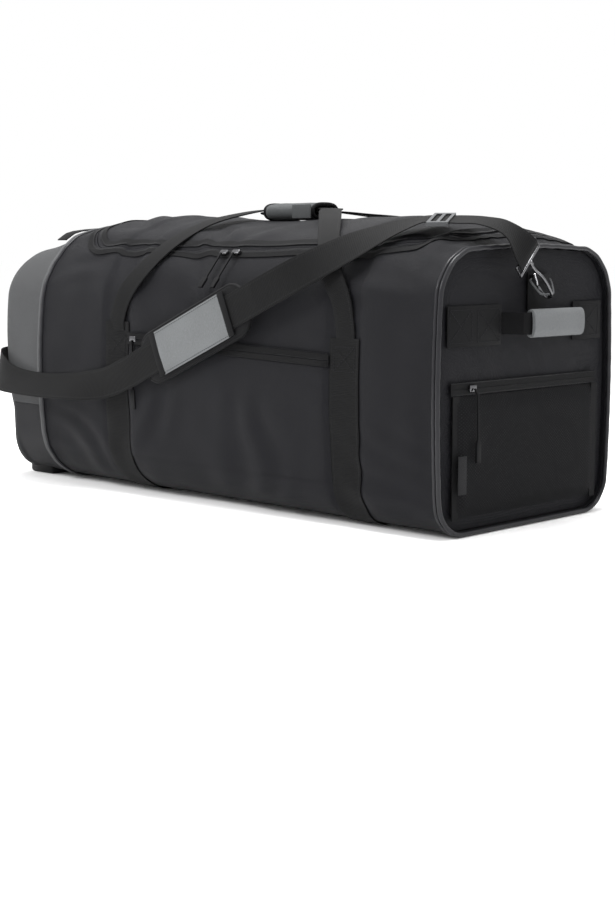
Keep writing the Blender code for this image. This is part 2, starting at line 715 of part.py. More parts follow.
def make_end_fittings():
    zipper = material("zip_tape", TAPE_BLACK, 0.5)
    web = material("webbing", WEB_BLACK, 0.8)
    face = PANEL_X + GAP
    box("end_zip", (face, -0.168, END_ZIP_Z - 0.007), (face + 0.0010, 0.166, END_ZIP_Z + 0.007), zipper)
    mesh = material("pocket_mesh", (0.02, 0.02, 0.02), 0.8)
    pocket = box("mesh_pocket", (face, -0.163, 0.026), (face + 0.0105, 0.168, 0.1905), mesh)
    hollow = box_mesh((face - 0.01, -0.1615, 0.0275), (face + 0.0090, 0.1665, 0.25))
    combine(pocket, helper("pocket_hollow", hollow))
    label = material("label", (0.6, 0.6, 0.6), 0.7)
    box("side_label", (face + 0.0109, -0.1620, 0.060), (face + 0.0117, -0.1440, 0.112), label)
    box("handle_anchor_left", (face, -0.176, ANCHOR_Z[0]), (face + 0.0018, -0.0600, ANCHOR_Z[1]), web)
    box("handle_anchor_right", (face, 0.1080, ANCHOR_Z[0]), (face + 0.0018, 0.1780, ANCHOR_Z[1]), web)
    half = 0.015
    bend = [(face + 0.0004, 0.0), (face + 0.0075, 0.0053), (GRIP_X - 0.004, 0.0138), (GRIP_X, 0.0210)]
    inner = [(x, -0.0578 + d) for x, d in bend] + [(GRIP_X, 0.0240)]
    inner += [(x, 0.1058 - d) for x, d in reversed(bend)]
    rings = []
    for i, (x, y) in enumerate(inner):
        before = Vector(inner[max(i - 1, 0)])
        after = Vector(inner[min(i + 1, len(inner) - 1)])
        along = (after - before).normalized()
        out = Vector((along.y, -along.x, 0)) * 0.0016
        low, high = Vector((x, y, GRIP_Z - half)), Vector((x, y, GRIP_Z + half))
        rings.append([low, high, high + out, low + out])
    loft("end_handle_webbing", rings, web)
    outer = [grip_ring(y, 0.0085, 0.0195) for y in (-0.0350, 0.0240, 0.0820)]
    hole = [grip_ring(y, 0.0030, 0.0158) for y in (0.0820, 0.0240, -0.0350)]
    loft("end_handle_grip", outer + hole, material("wrap_gray", PATCH_GRAY, 0.85), True)


def grip_ring(y, half_x, half_z):
    return [Vector((GRIP_X + 0.0008 + (p.y * half_x), y, GRIP_Z + p.z * half_z)) for p in oval(0, 0, 0, 1, 1)]


def make_wheel_end_loop():
    x = -0.438
    points = [
        ((x, -0.121, 0.4005), (0, -0.3, 1)),
        ((x, -0.115, 0.4045), (0, -0.6, 1)),
        ((x, -0.088, 0.4155), (0, -0.3, 1)),
        ((x, 0.0, 0.4215), (0, 0, 1)),
        ((x, 0.088, 0.4155), (0, 0.3, 1)),
        ((x, 0.115, 0.4045), (0, 0.6, 1)),
        ((x, 0.121, 0.4005), (0, 0.3, 1)),
    ]
    band("wheel_end_loop", points, 0.025, 0.0016, material("webbing", WEB_BLACK, 0.8), 3)


# The shoulder strap and the rings and snap hooks that it clips to.


def hook_frame(end):
    """The ring bar's middle, and the ways along the hook, out from the bag and across."""
    out = Vector((end["side"], 0, 0))
    bar = Vector((end["face"], end["y"], end["z"]))
    bar += out * (0.0042 + RING_DROP * sin(RING_TILT)) - Vector((0, 0, RING_DROP * cos(RING_TILT)))
    along = Vector(end["way"]).normalized()
    away = (out - along * out.dot(along)).normalized()
    return bar, along, away, along.cross(away)


def make_ring_and_hook(name, end):
    web = material("webbing", WEB_BLACK, 0.8)
    plastic = material("ring_plastic", GUNMETAL, 0.4)
    metal = material("hook_metal", GUNMETAL, 0.3, 1.0)
    side, face, y, z = end["side"], end["face"], end["y"], end["z"]
    ends = sorted((face, face + side * 0.0016))
    tab = box("ring_tab_" + name, (ends[0], y - 0.022, z - 0.050), (ends[1], y + 0.022, z + 0.0080), web)
    ends = sorted((face + side * 0.0010, face + side * 0.0080))
    fold = box_mesh((ends[0], y - 0.019, z - 0.0046), (ends[1], y + 0.019, z + 0.0046))
    combine(tab, helper("fold", fold), "UNION")
    pivot = Vector((face + side * 0.0042, y, z))
    reach = Vector((0, 0.05, 0))
    combine(tab, helper("bar_hole", rod_mesh(pivot - reach, pivot + reach, 0.0022, 10)))
    down = Vector((side * sin(RING_TILT), 0, -cos(RING_TILT)))
    corners = [(0.0245, 0.0), (0.0245, 0.006), (0.0165, 0.025), (0.0145, 0.027)]
    loop = [pivot + Vector((0, a, 0)) + down * b for a, b in corners]
    loop += [pivot + Vector((0, -a, 0)) + down * b for a, b in reversed(corners)]
    normal = down.cross(Vector((0, 1, 0)))
    add_object("ring_" + name, ring_tube_mesh(loop, normal, 0.0018, 8), plastic, pivot)
    bar, along, away, across = hook_frame(end)

    def spot(s, n):
        return bar + along * s + away * n

    shape = [(0.0585, 0.0), (0.048, 0.0005), (0.041, 0.0050), (0.034, 0.0090), (0.006, 0.0090)]
    shape += [(-0.003, 0.0066), (-0.0080, 0.0), (-0.003, -0.0066), (0.006, -0.0085), (0.015, -0.0085)]
    rings = tube_rings([spot(s, n) for s, n in shape], 0.0025, 8, False)
    loft("hook_" + name, rings, metal)
    gate_top = spot(0.0410, -0.0032)
    rings = tube_rings([spot(0.0184, -0.0083), gate_top], 0.0014, 8, False)
    loft("hook_gate_" + name, rings, metal, origin=gate_top)
    frame = [(-0.029, 0.0655), (0.029, 0.0655), (0.029, 0.0815), (-0.029, 0.0815)]
    loop = [bar + across * a + along * s for a, s in frame]
    eye = add_object("hook_eye_" + name, ring_tube_mesh(loop, away, 0.0019, 8), metal)
    combine(eye, helper("post", rod_mesh(spot(0.0592, 0), spot(0.0657, 0), 0.0036, 10)), "UNION")


def strap_end(end):
    """The strap's first points, where it leaves its hook's eye."""
    bar, along, away, _ = hook_frame(end)
    return [(bar + along * s + away * 0.0030, away) for s in (0.0735, 0.0885)]


def strap_points():
    """Route of the shoulder strap, as (point on its inner face, outward normal)."""
    front = (0, -1, 0)
    start = strap_end(ENDS["pocket_end"])
    over = [
        ((0.4640, -0.0660, 0.4140), (0.5, -0.2, 1)),
        ((0.4380, -0.0820, 0.4240), (0.1, -0.2, 1)),
        *((ADJUST[0].lerp(ADJUST[1], t), (0, -0.25, 1)) for t in (0.0, 0.33, 0.67, 1.0)),
        ((0.3250, -0.1480, 0.4120), (0, -0.6, 0.9)),
        ((0.2820, -0.1830, 0.3880), (0, -1, 0.5)),
        ((0.2200, -0.2165, 0.3540), (0, -1, 0.1)),
    ]
    pad = [(PAD_START.lerp(PAD_END, t), front) for t in (0.0, 0.12, 0.5, 0.88, 1.0)]
    under = [
        ((-0.2100, -0.2225, 0.1750), (0, -1, 0.2)),
        ((-0.3000, -0.2290, 0.1660), (0, -0.8, 0.6)),
        ((-0.3900, -0.2320, 0.1650), (0, -0.70, 0.70)),
        ((-0.4700, -0.2240, 0.1720), (-0.3, -0.8, 0.6)),
        ((-0.5260, -0.1920, 0.1900), (-0.9, -0.8, 0.2)),
        ((-0.5455, -0.1430, 0.1940), (-1, -0.2, 0)),
        ((-0.5505, -0.1080, 0.2040), (-1, 0, 0)),
    ]
    return start + over + pad + under + strap_end(ENDS["wheel_end"])[::-1]


def make_strap():
    web = material("webbing", WEB_BLACK, 0.8)
    stations = smooth_path([tuple(map(Vector, p)) for p in strap_points()], 8)
    loft("shoulder_strap", band_rings(stations, STRAP_W, WEB_T), web, origin=STRAP_PIVOT)
    along = (PAD_END - PAD_START).normalized()
    middle = PAD_START.lerp(PAD_END, 0.5)
    padded = material("pad_cloth", (0.015, 0.015, 0.015), 0.85)
    depth = Vector((0, 1, 0))
    outline = pad_outline(*PAD_HALF)
    up = Vector((-along.z, 0, along.x))
    rings = []
    for back in (0.0006, 0.0096):
        rings.append([middle + along * a + up * b + depth * back for a, b in outline])
    loft("shoulder_pad", rings, padded, origin=middle)
    patch = material("patch_gray", PATCH_GRAY, 0.9)
    profile = [(0.034, 0.0003), (0.034, -0.0032), (-0.034, -0.0032), (-0.034, 0.0003)]
    profile += [(-0.0275, 0.0003), (-0.0275, -0.0019), (0.0275, -0.0019), (0.0275, 0.0003)]
    rings = []
    for a in (-0.080, 0.080):
        rings.append([middle + along * a + up * b + depth * d for b, d in profile])
    loft("pad_patch", rings, patch, origin=middle)
    make_adjuster()


def pad_outline(half_length, half_width):
    points = []
    for start, a0 in ((1, -90), (-1, 90)):
        for k in range(7):
            a = radians(a0 + 30 * k)
            points.append((start * (half_length - 0.028) + 0.028 * cos(a), half_width * sin(a)))
    return points


def make_adjuster():
    """The sliding three-bar buckle on the strap's upper run."""
    start, end = ADJUST
    middle = start.lerp(end, 0.5)
    along = (end - start).normalized()
    normal = Vector((0, -0.25, 1))
    normal = (normal - along * normal.dot(along)).normalized()
    centre = middle + normal * WEB_T / 2
    plastic = material("buckle_plastic", GUNMETAL, 0.35)
    buckle = block("strap_adjuster", centre, along, normal, (0.030, 0.0062, 0.064), plastic)
    combine(buckle, helper("strap_slot", loft_mesh(framed(centre, along, normal, (0.2, 0.0038, 0.0530)))))
    for way in (-1, 1):
        at = centre + along * way * 0.0065 + normal * 0.003
        combine(buckle, helper("window", loft_mesh(framed(at, along, normal, (0.0080, 0.0080, 0.0510)))))


def main():
    clear_scene()
    make_sleeve_and_lid()
    make_zips()
    make_ends()
    make_piping()
    make_base()
    make_wheels()
    make_webbing()
    make_handles()
    make_front_pocket()
    make_sliders()
    make_end_fittings()
    make_wheel_end_loop()
    for name, end in ENDS.items():
        make_ring_and_hook(name, end)
    make_strap()


main()
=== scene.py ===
"""The looks of the rolling duffel bag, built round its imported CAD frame. Metres, +Z up.

X runs along the bag from the wheel end (-X) to the pocket end (+X). The front faces -Y.
"""

from math import atan2, cos, pi, radians, sin, sqrt

import bmesh
import bpy
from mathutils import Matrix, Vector, noise


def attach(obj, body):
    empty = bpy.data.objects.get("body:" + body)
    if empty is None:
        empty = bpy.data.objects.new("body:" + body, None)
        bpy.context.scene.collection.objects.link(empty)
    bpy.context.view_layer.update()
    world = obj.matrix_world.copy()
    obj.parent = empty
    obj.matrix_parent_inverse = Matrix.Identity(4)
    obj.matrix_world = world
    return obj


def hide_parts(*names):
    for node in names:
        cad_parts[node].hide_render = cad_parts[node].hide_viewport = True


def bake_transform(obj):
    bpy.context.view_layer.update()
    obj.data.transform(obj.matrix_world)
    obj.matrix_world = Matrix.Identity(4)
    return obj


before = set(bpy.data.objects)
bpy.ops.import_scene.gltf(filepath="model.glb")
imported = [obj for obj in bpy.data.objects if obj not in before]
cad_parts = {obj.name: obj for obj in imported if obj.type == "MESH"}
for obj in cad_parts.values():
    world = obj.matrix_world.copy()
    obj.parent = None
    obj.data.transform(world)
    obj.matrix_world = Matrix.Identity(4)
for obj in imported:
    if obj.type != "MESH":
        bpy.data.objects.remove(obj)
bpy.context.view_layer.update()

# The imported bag, as in its CAD.
WIDTH = 0.381
HEIGHT = 0.381
X_END = 0.4515
X_SEAM = -0.388
X_WHEEL = -0.505
FLOOR = 0.0048
TOP_RISE = (
    (X_WHEEL, 0.0),
    (-0.440, 0.018),
    (X_SEAM, 0.046),
    (-0.330, 0.056),
    (-0.220, 0.058),
    (-0.100, 0.051),
    (0.012, 0.048),
    (0.120, 0.050),
    (0.220, 0.052),
    (0.320, 0.050),
    (0.380, 0.042),
    (0.420, 0.028),
    (X_END, 0.006),
)
SIDE_SWELL = (0.008, 0.018)
SIDE_SWELL_END = 0.004
LID_X = (-0.350, 0.418)
LID_Y = (-0.160, 0.150)
LID_R = 0.085
LID_SLIT = 0.0008
CAP_SEAM = 0.127
CAP_EDGE = X_SEAM - 0.008
CAP_ROUND = 0.030
CAP_UNDER = 0.014
CAP_SQUARE = 0.044
CAP_BULGE = 0.015
WEB_X = (-0.192, 0.291)
WEB_W = 0.054
WEB_TOP = 0.274
WRAP = Vector((0.012, 0.0, 0.4442))
PANEL_X = X_END - 0.0008
CLOTH = 0.0022          # thickness of the visible cloth
FINE = 6                # pieces of a section's corner for each 15 degrees


# Where the shoulder strap is held: at a ring on each end, under its buckle, and along its pad.
GAP = 0.0004
RING_DROP = 0.027
RING_TILT = radians(32)
ENDS = (
    {"side": 1, "face": PANEL_X + GAP, "y": 0.022, "z": 0.347, "way": (0.05, -0.71, 0.70)},
    {"side": -1, "face": X_WHEEL - 0.0165, "y": 0.0, "z": 0.305, "way": (-0.05, -0.78, -0.62)},
)
ADJUST = (Vector((0.4080, -0.0960, 0.4260)), Vector((0.3620, -0.1210, 0.4260)))
PAD_START = Vector((0.148, -0.2235, 0.3220))
PAD_END = Vector((-0.140, -0.2235, 0.1980))

# Colours, linear.
BLACK = (0.0036, 0.0036, 0.0050)
WEB_BLACK = (0.0026, 0.0026, 0.0028)
TAPE_BLACK = (0.0028, 0.0028, 0.0032)
MELANGE = (0.0400, 0.0408, 0.0420)
GRAY = (0.0950, 0.0985, 0.1010)
PIPING = (0.0700, 0.0710, 0.0730)


# Surface finishes.


class Field:
    """A number that varies over a surface, so that sums of fields read as sums."""

    def __init__(self, finish, socket):
        self.finish = finish
        self.socket = socket

    def math(self, operation, *others):
        values = {i: v for i, v in enumerate((self, *others))}
        return self.finish.node("ShaderNodeMath", {"operation": operation}, values)

    def __add__(self, other):
        return self.math("ADD", other)

    __radd__ = __add__

    def __mul__(self, other):
        return self.math("MULTIPLY", other)

    __rmul__ = __mul__

    def __sub__(self, other):
        return self.math("SUBTRACT", other)

    def __rsub__(self, other):
        return (self * -1.0) + other

    def __gt__(self, other):
        return self.math("GREATER_THAN", other)

    def __lt__(self, other):
        return self.math("LESS_THAN", other)

    def sine(self):
        return self.math("SINE")

    def size(self):
        return self.math("ABSOLUTE")


class Finish:
    """A material whose pattern is built from nodes."""

    def __init__(self, name, roughness, metallic=0.0, sheen=0.0, coat=0.0):
        self.material = bpy.data.materials.new(name)
        self.material.use_nodes = True
        self.tree = self.material.node_tree
        self.shader = self.tree.nodes["Principled BSDF"]
        self.shader.inputs["Roughness"].default_value = roughness
        self.shader.inputs["Metallic"].default_value = metallic
        self.shader.inputs["Specular IOR Level"].default_value = 0.10 if not metallic else 0.5
        self.shader.inputs["Sheen Weight"].default_value = sheen
        self.shader.inputs["Sheen Roughness"].default_value = 0.45
        self.shader.inputs["Coat Weight"].default_value = coat

    def node(self, kind, settings=None, sockets=None, out=0):
        made = self.tree.nodes.new(kind)
        for name, value in (settings or {}).items():
            setattr(made, name, value)
        for name, value in (sockets or {}).items():
            self.feed(made.inputs[name], value)
        return Field(self, made.outputs[out])

    def feed(self, socket, value):
        if isinstance(value, Field):
            self.tree.links.new(value.socket, socket)
        else:
            socket.default_value = value

    def place(self):
        return self.node("ShaderNodeTexCoord", out=3)

    def along_and_across(self):
        """The two distances of a strip's own map, in metres."""
        where = self.node("ShaderNodeTexCoord", out=2)
        split = self.node("ShaderNodeSeparateXYZ", sockets={0: where}).socket.node
        return Field(self, split.outputs[0]), Field(self, split.outputs[1])

    def xyz(self):
        split = self.node("ShaderNodeSeparateXYZ", sockets={0: self.place()}).socket.node
        return [Field(self, split.outputs[i]) for i in range(3)]

    def grain(self, scale, detail=3.0, stretch=(1, 1, 1)):
        where = self.node("ShaderNodeMapping", sockets={0: self.place(), 3: stretch})
        sockets = {"Vector": where, "Scale": scale, "Detail": detail}
        return self.node("ShaderNodeTexNoise", {}, sockets)

    def blend(self, share, first, second):
        sockets = {0: share, 6: first, 7: second}
        return self.node("ShaderNodeMix", {"data_type": "RGBA"}, sockets, out=2)

    def finish(self, colour, roughness, height, depth=0.0003, strength=0.6, alpha=None):
        self.feed(self.shader.inputs["Base Color"], colour)
        self.feed(self.shader.inputs["Roughness"], roughness)
        if alpha is not None:
            self.feed(self.shader.inputs["Alpha"], alpha)
        sockets = {"Height": height, "Distance": depth, "Strength": strength}
        bump = self.node("ShaderNodeBump", {}, sockets)
        self.feed(self.shader.inputs["Normal"], bump)
        return self.material


def shade(colour, factor):
    return (*(c * factor for c in colour), 1.0)


def cloth_finish(name, colour, thread=0.0011, roughness=0.56, melange=0.0, sheen=0.03):
    """Plain weave: fine threads both ways, with a little lint and wear."""
    made = Finish(name, roughness, sheen=sheen)
    x, y, z = made.xyz()
    turn = 2 * pi / thread
    weave = (x * turn).sine() * ((y + z) * turn).sine()
    cloudy = made.grain(7.0, 4.0)
    lint = made.grain(900.0, 2.0, (1, 1, 0.4))
    share = cloudy * 0.7 + lint * (0.3 + melange) - melange * 0.5
    tone = made.blend(share, shade(colour, 0.72), shade(colour, 1.36 + melange))
    rough = cloudy * 0.16 + (roughness - 0.08)
    height = weave * 0.35 + lint * 0.5 + cloudy * 0.5
    return made.finish(tone, rough, height, 0.0004, 0.8)


def webbing_finish(name, colour, rib=0.0024, stitched=True, width=WEB_W):
    """Flat webbing: ribs across it and fine yarns along it, with a line of stitches near each edge."""
    made = Finish(name, 0.7, sheen=0.03)
    along, across = made.along_and_across()
    ribs = (along * (2 * pi / rib)).sine()
    yarns = (across * (2 * pi / 0.0017)).sine()
    height = ribs * 0.5 + yarns * 0.3
    lint = made.grain(500.0, 3.0)
    tone = made.blend(lint * 0.6 + yarns * 0.12 + 0.12, shade(colour, 0.65), shade(colour, 1.7))
    if stitched:
        line = ((across.size() - (width / 2 - 0.004)).size() < 0.00045)
        dash = (along * (1 / 0.0042)).math("FRACT") < 0.62
        thread = line * dash
        tone = made.blend(thread, tone, shade(colour, 3.2))
        height = height + thread * 2.0
    return made.finish(tone, lint * 0.15 + 0.62, height, 0.0003, 0.7)


def zip_finish(name, width):
    """A zip tape: twill, with the coil's teeth on the side nearest the slit. The coil is painted lighter
    than the tape and brightest on each tooth: a painted highlight.
    """
    made = Finish(name, 0.5)
    along, across = made.along_and_across()
    coil = across > (width / 2 - 0.0034)
    teeth = (along * (2 * pi / 0.0022)).sine()
    twill = ((along + across) * (2 * pi / 0.0014)).sine()
    height = coil * (teeth * 1.2 + 1.5) + twill * 0.2
    # painted highlight: the coil's colour is raised up to three times the tape's, brightest on each
    # tooth's crest
    tone = made.blend(coil * (teeth * 0.3 + 0.6), shade(TAPE_BLACK, 1.0), shade(TAPE_BLACK, 3.0))
    return made.finish(tone, 0.62 - coil * 0.25, height, 0.0006, 0.8)


def moulded_finish(name, colour, roughness=0.38, grain=900.0, metallic=0.0, coat=0.0):
    made = Finish(name, roughness, metallic, coat=coat)
    pits = made.grain(grain, 2.0)
    wear = made.grain(35.0, 4.0)
    tone = made.blend(wear, shade(colour, 0.8), shade(colour, 1.25))
    return made.finish(tone, wear * 0.22 + (roughness - 0.1), pits, 0.0001, 0.35)


def mesh_finish(name, colour):
    """Open diamond netting: the holes between the crossing yarns are clear."""
    made = Finish(name, 0.7)
    along, across = made.along_and_across()
    size = 0.0046
    first = ((along * 0.8 + across) * (1 / size)).math("FRACT")
    second = ((along * 0.8 - across) * (1 / size)).math("FRACT")
    yarn_one = (first - 0.5).size() > 0.29
    yarn_two = (second - 0.5).size() > 0.29
    yarn = yarn_one.math("MAXIMUM", yarn_two)
    lint = made.grain(600.0, 2.0)
    tone = made.blend(lint, shade(colour, 0.8), shade(colour, 2.2))
    return made.finish(tone, 0.7, yarn, 0.0005, 0.6, alpha=yarn)


def make_finishes():
    looks = {}
    looks["ripstop"] = cloth_finish("ripstop_black_weave", BLACK)
    looks["melange"] = cloth_finish("melange_gray_weave", MELANGE, 0.0012, 0.8, 0.5, 0.04)
    looks["webbing"] = webbing_finish("webbing_weave", WEB_BLACK)
    looks["handle_web"] = webbing_finish("handle_webbing_weave", WEB_BLACK, width=0.034)
    looks["strap_web"] = webbing_finish("strap_webbing_weave", WEB_BLACK, 0.0030, True, 0.050)
    looks["zip"] = zip_finish("coil_zip_tape", 0.012)
    looks["pad"] = cloth_finish("pad_spacer_weave", (0.0040, 0.0040, 0.0045), 0.0022, 0.75)
    looks["binding"] = webbing_finish("binding_weave", TAPE_BLACK, 0.0016, False)
    looks["patch"] = cloth_finish("patch_ribbed_gray", GRAY, 0.0026, 0.8, 0.35, 0.04)
    looks["lining"] = cloth_finish("lining_gray", (0.045, 0.047, 0.048), 0.0016, 0.8, 0.5, 0.04)
    cord = (0.016, 0.016, 0.018)
    looks["piping_dark"] = moulded_finish("piping_dark_cord", cord, 0.34, 700.0, coat=0.15)
    looks["piping_gray"] = cloth_finish("piping_gray_cord", PIPING, 0.0012, 0.6, 0.2)
    looks["mesh"] = mesh_finish("diamond_mesh", (0.0045, 0.0045, 0.005))
    looks["tarpaulin"] = moulded_finish("base_tarpaulin", (0.005, 0.005, 0.0055), 0.5, 500.0)
    looks["nylon"] = moulded_finish("moulded_nylon", (0.006, 0.006, 0.0065), 0.42)
    looks["rubber"] = moulded_finish("wheel_rubber_tread", (0.020, 0.020, 0.020), 0.62, 400.0)
    looks["gray_plastic"] = moulded_finish("gray_moulded", (0.075, 0.077, 0.080), 0.36)
    looks["gunmetal"] = moulded_finish("gunmetal_plate", (0.120, 0.120, 0.125), 0.26, 300.0, 1.0)
    looks["steel"] = moulded_finish("steel_plate", (0.560, 0.560, 0.580), 0.26, 300.0, 1.0)
    looks["cord"] = moulded_finish("pull_cord_braid", (0.0045, 0.0045, 0.005), 0.55, 1200.0)
    looks["label"] = cloth_finish("plain_label", (0.012, 0.012, 0.013), 0.0012, 0.7)
    looks["thread"] = moulded_finish("stitch_thread", (0.016, 0.016, 0.018), 0.5)
    looks["board"] = moulded_finish("stiff_board", (0.05, 0.05, 0.05), 0.8)
    return looks


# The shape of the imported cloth.


def rise(x):
    """The lift of the top, smoothed between the stations of the CAD."""
    if x <= TOP_RISE[0][0]:
        return TOP_RISE[0][1]
    for i in range(len(TOP_RISE) - 1):
        x0, low = TOP_RISE[i]
        x1, high = TOP_RISE[i + 1]
        if x <= x1:
            t = (x - x0) / (x1 - x0)
            return low + (high - low) * t
    return TOP_RISE[-1][1]


def soft_rise(x):
    return sum(rise(x + d) for d in (-0.018, -0.009, 0.0, 0.009, 0.018)) / 5


def along_body(x):
    return min(max((X_END - x) / (X_END - X_SEAM), 0.0), 1.0)


def corner_radii(x):
    t = along_body(x)
    return 0.062 + 0.014 * t, 0.048 + 0.030 * t


def side_swell(x):
    if x < X_SEAM:
        t = min((X_SEAM - x) / (X_SEAM - X_WHEEL), 1.0)
        return SIDE_SWELL[1] + (SIDE_SWELL_END - SIDE_SWELL[1]) * t
    return SIDE_SWELL[0] + (SIDE_SWELL[1] - SIDE_SWELL[0]) * along_body(x)


def swell(x, y, z):
    half = WIDTH / 2
    middle = HEIGHT / 2
    if z > middle:
        over = min(abs(y) / half, 1.0) * pi / 2
        z += soft_rise(x) * cos(over) ** 0.8 * (z - middle) / middle
    side = side_swell(x) * sin(pi * min(max(z / HEIGHT, 0), 1))
    return y * (1 + side / half), z


def section(x, out=0.0, bottom_out=None, bottom_r=None):
    """The outline at x as (y, z) points, moved outwards."""
    top_r = corner_radii(x)[0] + out
    if bottom_r is None:
        bottom_r = corner_radii(x)[1] + out
    half = WIDTH / 2 + out
    top = HEIGHT + out
    bottom = FLOOR - (out if bottom_out is None else bottom_out)
    corners = (
        (half - bottom_r, bottom + bottom_r, bottom_r, -90, 20),
        (half - top_r, top - top_r, top_r, 0, 36),
        (top_r - half, top - top_r, top_r, 90, 20),
        (bottom_r - half, bottom + bottom_r, bottom_r, 180, 14),
    )
    steps = 3 * FINE
    points = []
    for i, (y, z, r, start, pieces) in enumerate(corners):
        arc = [radians(start + 90 * k / steps) for k in range(steps + 1)]
        points += [(y + r * cos(a), z + r * sin(a)) for a in arc]
        after = corners[(i + 1) % 4]
        next_y = after[0] + after[2] * cos(radians(after[3]))
        next_z = after[1] + after[2] * sin(radians(after[3]))
        y, z = points[-1]
        for k in range(1, pieces):
            points.append((y + (next_y - y) * k / pieces, z + (next_z - z) * k / pieces))
    return points


def smooth_step(low, high, value):
    t = min(max((value - low) / (high - low), 0.0), 1.0)
    return t * t * (3 - 2 * t)


def fold(p, direction, spacing, seed):
    """One family of soft creases: ridges along a direction, broken up by noise."""
    wave = p.dot(Vector(direction)) / spacing + 1.6 * noise.noise(p * 6 + Vector((seed, 0, 0)))
    patch = noise.noise(p * 5.0 + Vector((0, seed, 7)))
    return sin(2 * pi * wave) * smooth_step(0.02, 0.42, patch)


def billow(p):
    """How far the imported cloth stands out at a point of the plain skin."""
    broad = noise.noise(p * 6.5) * 0.0036 + noise.noise(p * 15.0 + Vector((3, 1, 4))) * 0.0018
    creases = fold(p, (0.45, 0.3, 1.0), 0.060, 2.0) * 0.0022
    creases += fold(p, (1.0, 0.2, -0.35), 0.075, 9.0) * 0.0022
    pinch = 0.0
    for x in WEB_X:
        near = abs(p.x - x)
        flank = smooth_step(0.029, 0.036, near) * (1 - smooth_step(0.045, 0.10, near))
        pinch += 0.0016 * flank - 0.0012 * (1 - smooth_step(0.026, 0.032, near))
    edge = smooth_step(0.0, 0.035, X_END - p.x) * smooth_step(0.0, 0.035, p.x - X_SEAM)
    gather = 0.0
    for station, reach in ((X_END, 0.060), (X_SEAM, 0.070)):
        near = 1 - smooth_step(0.0, reach, abs(p.x - station))
        turn = atan2(p.z - HEIGHT / 2, p.y)
        gather += near * 0.0012 * sin(turn * 46 + 3 * noise.noise(p * 9))
    under = smooth_step(0.004, 0.035, p.z)
    return (edge * (broad + creases) + pinch * edge + gather * (0.3 + 0.7 * edge)) * under + 0.0004


def skin(x, out=0.0, depth=0.0):
    """A ring of the bag's cloth at x: the outside, or depth inside it."""
    plain = [Vector((x, *swell(x, y, z))) for y, z in section(x, 0.0)]
    count = len(plain)
    ring = []
    for i, p in enumerate(plain):
        along = plain[(i + 1) % count] - plain[i - 1]
        normal = Vector((0, along.z, -along.y)).normalized()
        ring.append(p + normal * (billow(p) + out - depth))
    return ring


def front_skin(x, z, out=0.0):
    """The point of the front's cloth at a height, standing out a little."""
    ring = [p for p in skin(x, out) if p.y < -0.10]
    ring.sort(key=lambda p: p.z)
    for low, high in zip(ring, ring[1:]):
        if low.z <= z <= high.z:
            return low.lerp(high, (z - low.z) / max(high.z - low.z, 1e-9))
    return ring[0] if z < ring[0].z else ring[-1]


def top_skin(x, y, out=0.0):
    """The point of the top's cloth above (x, y), standing out a little."""
    ring = [p for p in skin(x, out) if p.z > HEIGHT / 2]
    ring.sort(key=lambda p: p.y)
    for low, high in zip(ring, ring[1:]):
        if low.y <= y <= high.y:
            return low.lerp(high, (y - low.y) / max(high.y - low.y, 1e-9))
    return ring[0] if y < ring[0].y else ring[-1]


# Building pieces.


def keep(obj, body, look, *nodes, smooth=True, angle=50):
    """Give a finished piece its look and its body, and hide the CAD nodes that it stands for.

    A piece that bends between two bodies has no body of its own.
    """
    obj.data.materials.clear()
    obj.data.materials.append(look)
    for face in obj.data.polygons:
        face.use_smooth = smooth
    if smooth:
        select_only(obj)
        bpy.ops.object.shade_smooth_by_angle(angle=radians(angle))
    if body:
        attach(obj, body)
    if nodes:
        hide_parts(*nodes)
    return obj


def select_only(obj):
    bpy.ops.object.select_all(action="DESELECT")
    obj.select_set(True)
    bpy.context.view_layer.objects.active = obj


def apply_all(obj):
    select_only(obj)
    for step in list(obj.modifiers):
        bpy.ops.object.modifier_apply(modifier=step.name)


def as_object(name, bm):
    """The object of a finished bmesh, with its faces turned outwards."""
    bmesh.ops.recalc_face_normals(bm, faces=bm.faces)
    mesh = bpy.data.meshes.new(name)
    bm.to_mesh(mesh)
    bm.free()
    obj = bpy.data.objects.new(name, mesh)
    bpy.context.scene.collection.objects.link(obj)
    return obj


def grid(name, rows, around=False, joined=False, capped=False, uv=None):
    """A quilt of faces between rows of points. around closes each row, joined closes the rows."""
    bm = bmesh.new()
    verts = [[bm.verts.new(p) for p in row] for row in rows]
    layer = bm.loops.layers.uv.new("UVMap")
    spans = len(rows[0]) if around else len(rows[0]) - 1
    steps = len(rows) if joined else len(rows) - 1
    for i in range(steps):
        for j in range(spans):
            i2, j2 = (i + 1) % len(rows), (j + 1) % len(rows[0])
            face = bm.faces.new((verts[i][j], verts[i][j2], verts[i2][j2], verts[i2][j]))
            if uv:
                places = (uv[i][j], uv[i][j2], uv[i2][j2], uv[i2][j])
                for loop, place in zip(face.loops, places):
                    loop[layer].uv = place
    if capped:
        bm.faces.new(verts[0][::-1])
        bm.faces.new(verts[-1])
    return as_object(name, bm)


def solid(obj, thickness, offset=1.0, bevel=0.0):
    step = obj.modifiers.new("thickness", "SOLIDIFY")
    step.thickness = thickness
    step.offset = offset
    if bevel:
        edge = obj.modifiers.new("soft_edge", "BEVEL")
        edge.width = bevel
        edge.segments = 2
        edge.limit_method = "ANGLE"
    apply_all(obj)
    return obj


def strip(name, middle, sides, normals, width, thickness, bow=0.0):
    """A flat band along a line, with its own map in metres. The line is on its inner face."""
    rows, uv = [], []
    distance = 0.0
    across = [-0.5, -0.44, -0.2, 0.0, 0.2, 0.44, 0.5]
    for i, p in enumerate(middle):
        if i:
            distance += (p - middle[i - 1]).length
        rows.append([p + sides[i] * width * t + normals[i] * bow * (1 - 4 * t * t) for t in across])
        uv.append([(distance, width * t) for t in across])
    return solid(grid(name, rows, uv=uv), thickness, 1.0, thickness * 0.3)


